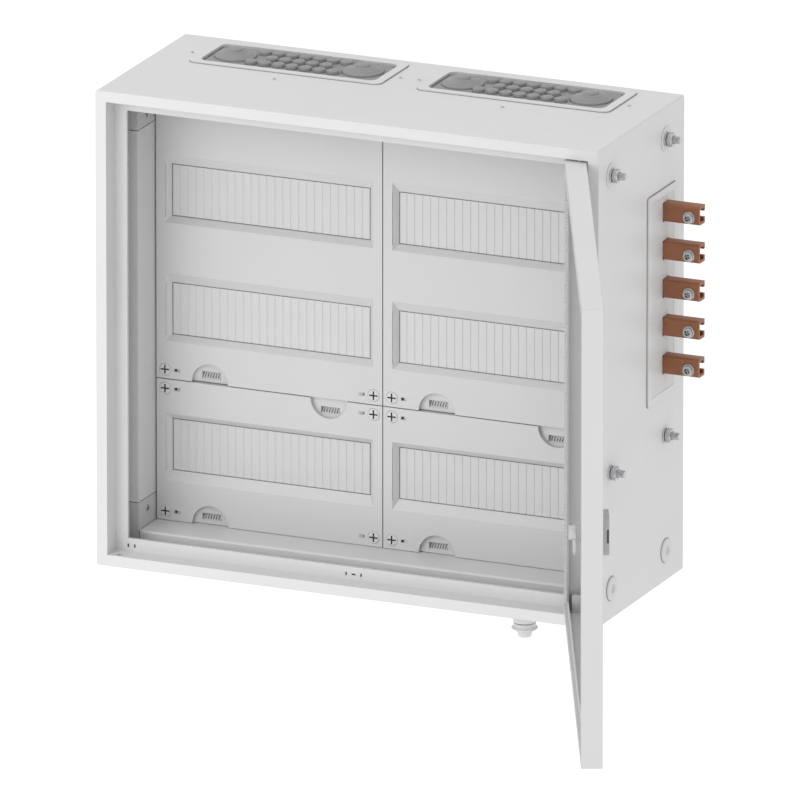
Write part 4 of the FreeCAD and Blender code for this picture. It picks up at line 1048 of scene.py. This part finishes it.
class CABINET_OT_stage(bpy.types.Operator):
    """Lay the pale floor, hang the soft lights and set the camera"""
    bl_idname = "cabinet.stage"
    bl_label = "Stage"

    def execute(self, context):
        values = context.scene.cabinet_stage
        self.floor(values)
        self.lights(context.scene, values)
        self.camera(context.scene, values)
        return {"FINISHED"}

    @staticmethod
    def floor(values):
        mesh = bmesh.new()
        half = values.floor_size / 2
        height = CAD_BOX[0][2] - values.floor_drop
        mesh.faces.new([mesh.verts.new((x * half, y * half, height))
                        for x, y in ((-1, -1), (1, -1), (1, 1), (-1, 1))])
        data = bpy.data.meshes.new("studio_floor")
        mesh.to_mesh(data)
        mesh.free()
        r = Recipe("studio_floor", values.floor, 0.9, specular=0.0)
        r.tint(r.noise(0.6, 2.0), 0.995, 1.0)
        r.set("Emission Color", (1.0, 1.0, 1.0, 1.0))
        r.set("Emission Strength", FLOOR_GLOW)
        data.materials.append(r.material)
        made = bpy.data.objects.new("studio_floor", data)
        bpy.context.scene.collection.objects.link(made)

    @staticmethod
    def lights(scene, values):
        world = bpy.data.worlds.new("studio")
        world.use_nodes = True
        ground = next(n for n in world.node_tree.nodes if n.type == "BACKGROUND")
        ground.inputs["Color"].default_value = (1.0, 1.0, 1.0, 1.0)
        ground.inputs["Strength"].default_value = values.world
        scene.world = world
        for name, at, size in LIGHTS:
            lamp = bpy.data.lights.new(name + "_light", "AREA")
            lamp.energy = getattr(values, name)
            lamp.size = size
            made = bpy.data.objects.new(name + "_light", lamp)
            made.location = at
            made.rotation_euler = (AIM - Vector(at)).to_track_quat("-Z", "Y").to_euler()
            scene.collection.objects.link(made)

    @staticmethod
    def camera(scene, values):
        """Long lens, from the front right and a little above."""
        turn, lift = math.radians(VIEW_TURN), math.radians(VIEW_LIFT)
        back = Vector((math.sin(turn) * math.cos(lift), -math.cos(turn) * math.cos(lift), math.sin(lift)))
        right = Vector((math.cos(turn), math.sin(turn), 0.0))
        up = back.cross(right)
        data = bpy.data.cameras.new("camera")
        data.sensor_width = SENSOR
        data.lens = values.lens
        data.clip_start, data.clip_end = CLIP
        made = bpy.data.objects.new("camera", data)
        made.matrix_world = Matrix((right, up, back)).transposed().to_4x4()
        made.location = AIM + right * VIEW_RIGHT - up * VIEW_DOWN + back * VIEW_BACK
        scene.collection.objects.link(made)
        scene.camera = made


OPERATORS = (
    CABINET_OT_coat_frame,
    CABINET_OT_coupling_studs,
    CABINET_OT_busbars,
    CABINET_OT_clamp_screws,
    CABINET_OT_entry_membranes,
    CABINET_OT_cable_gland,
    CABINET_OT_small_screws,
    CABINET_OT_blind_plugs,
    CABINET_OT_plate_shadow_gaps,
    CABINET_OT_blanking_strips,
    CABINET_OT_lock_notch,
    CABINET_OT_cover_locks,
    CABINET_OT_stage,
)


class CABINET_PT_panel(bpy.types.Panel):
    """Lists the cabinet's pieces and their sizes"""
    bl_label = "Distribution Cabinet"
    bl_idname = "CABINET_PT_panel"
    bl_space_type = "VIEW_3D"
    bl_region_type = "UI"
    bl_category = "Cabinet"

    def draw(self, context):
        for operator in OPERATORS:
            self.layout.operator(operator.bl_idname)
        for group in GROUPS:
            values = getattr(context.scene, group)
            box = self.layout.box()
            for key in values.bl_rna.properties.keys():
                if key not in ("name", "rna_type"):
                    box.prop(values, key)


def register():
    for each in (*GROUPS.values(), *OPERATORS, CABINET_PT_panel):
        bpy.utils.register_class(each)
    for key, group in GROUPS.items():
        setattr(bpy.types.Scene, key, PointerProperty(type=group))


def unregister():
    for key in GROUPS:
        delattr(bpy.types.Scene, key)
    for each in reversed((*GROUPS.values(), *OPERATORS, CABINET_PT_panel)):
        bpy.utils.unregister_class(each)


def main():
    register()
    bpy.context.scene.view_settings.view_transform = "Standard"
    bpy.ops.cabinet.coat_frame()
    bpy.ops.cabinet.coupling_studs()
    bpy.ops.cabinet.busbars()
    bpy.ops.cabinet.clamp_screws()
    bpy.ops.cabinet.entry_membranes()
    bpy.ops.cabinet.cable_gland()
    bpy.ops.cabinet.small_screws()
    bpy.ops.cabinet.blind_plugs()
    bpy.ops.cabinet.plate_seals()
    bpy.ops.cabinet.blanking_strips()
    bpy.ops.cabinet.lock_notch()
    bpy.ops.cabinet.cover_locks()
    bpy.ops.cabinet.stage()


if __name__ == "__main__":
    main()
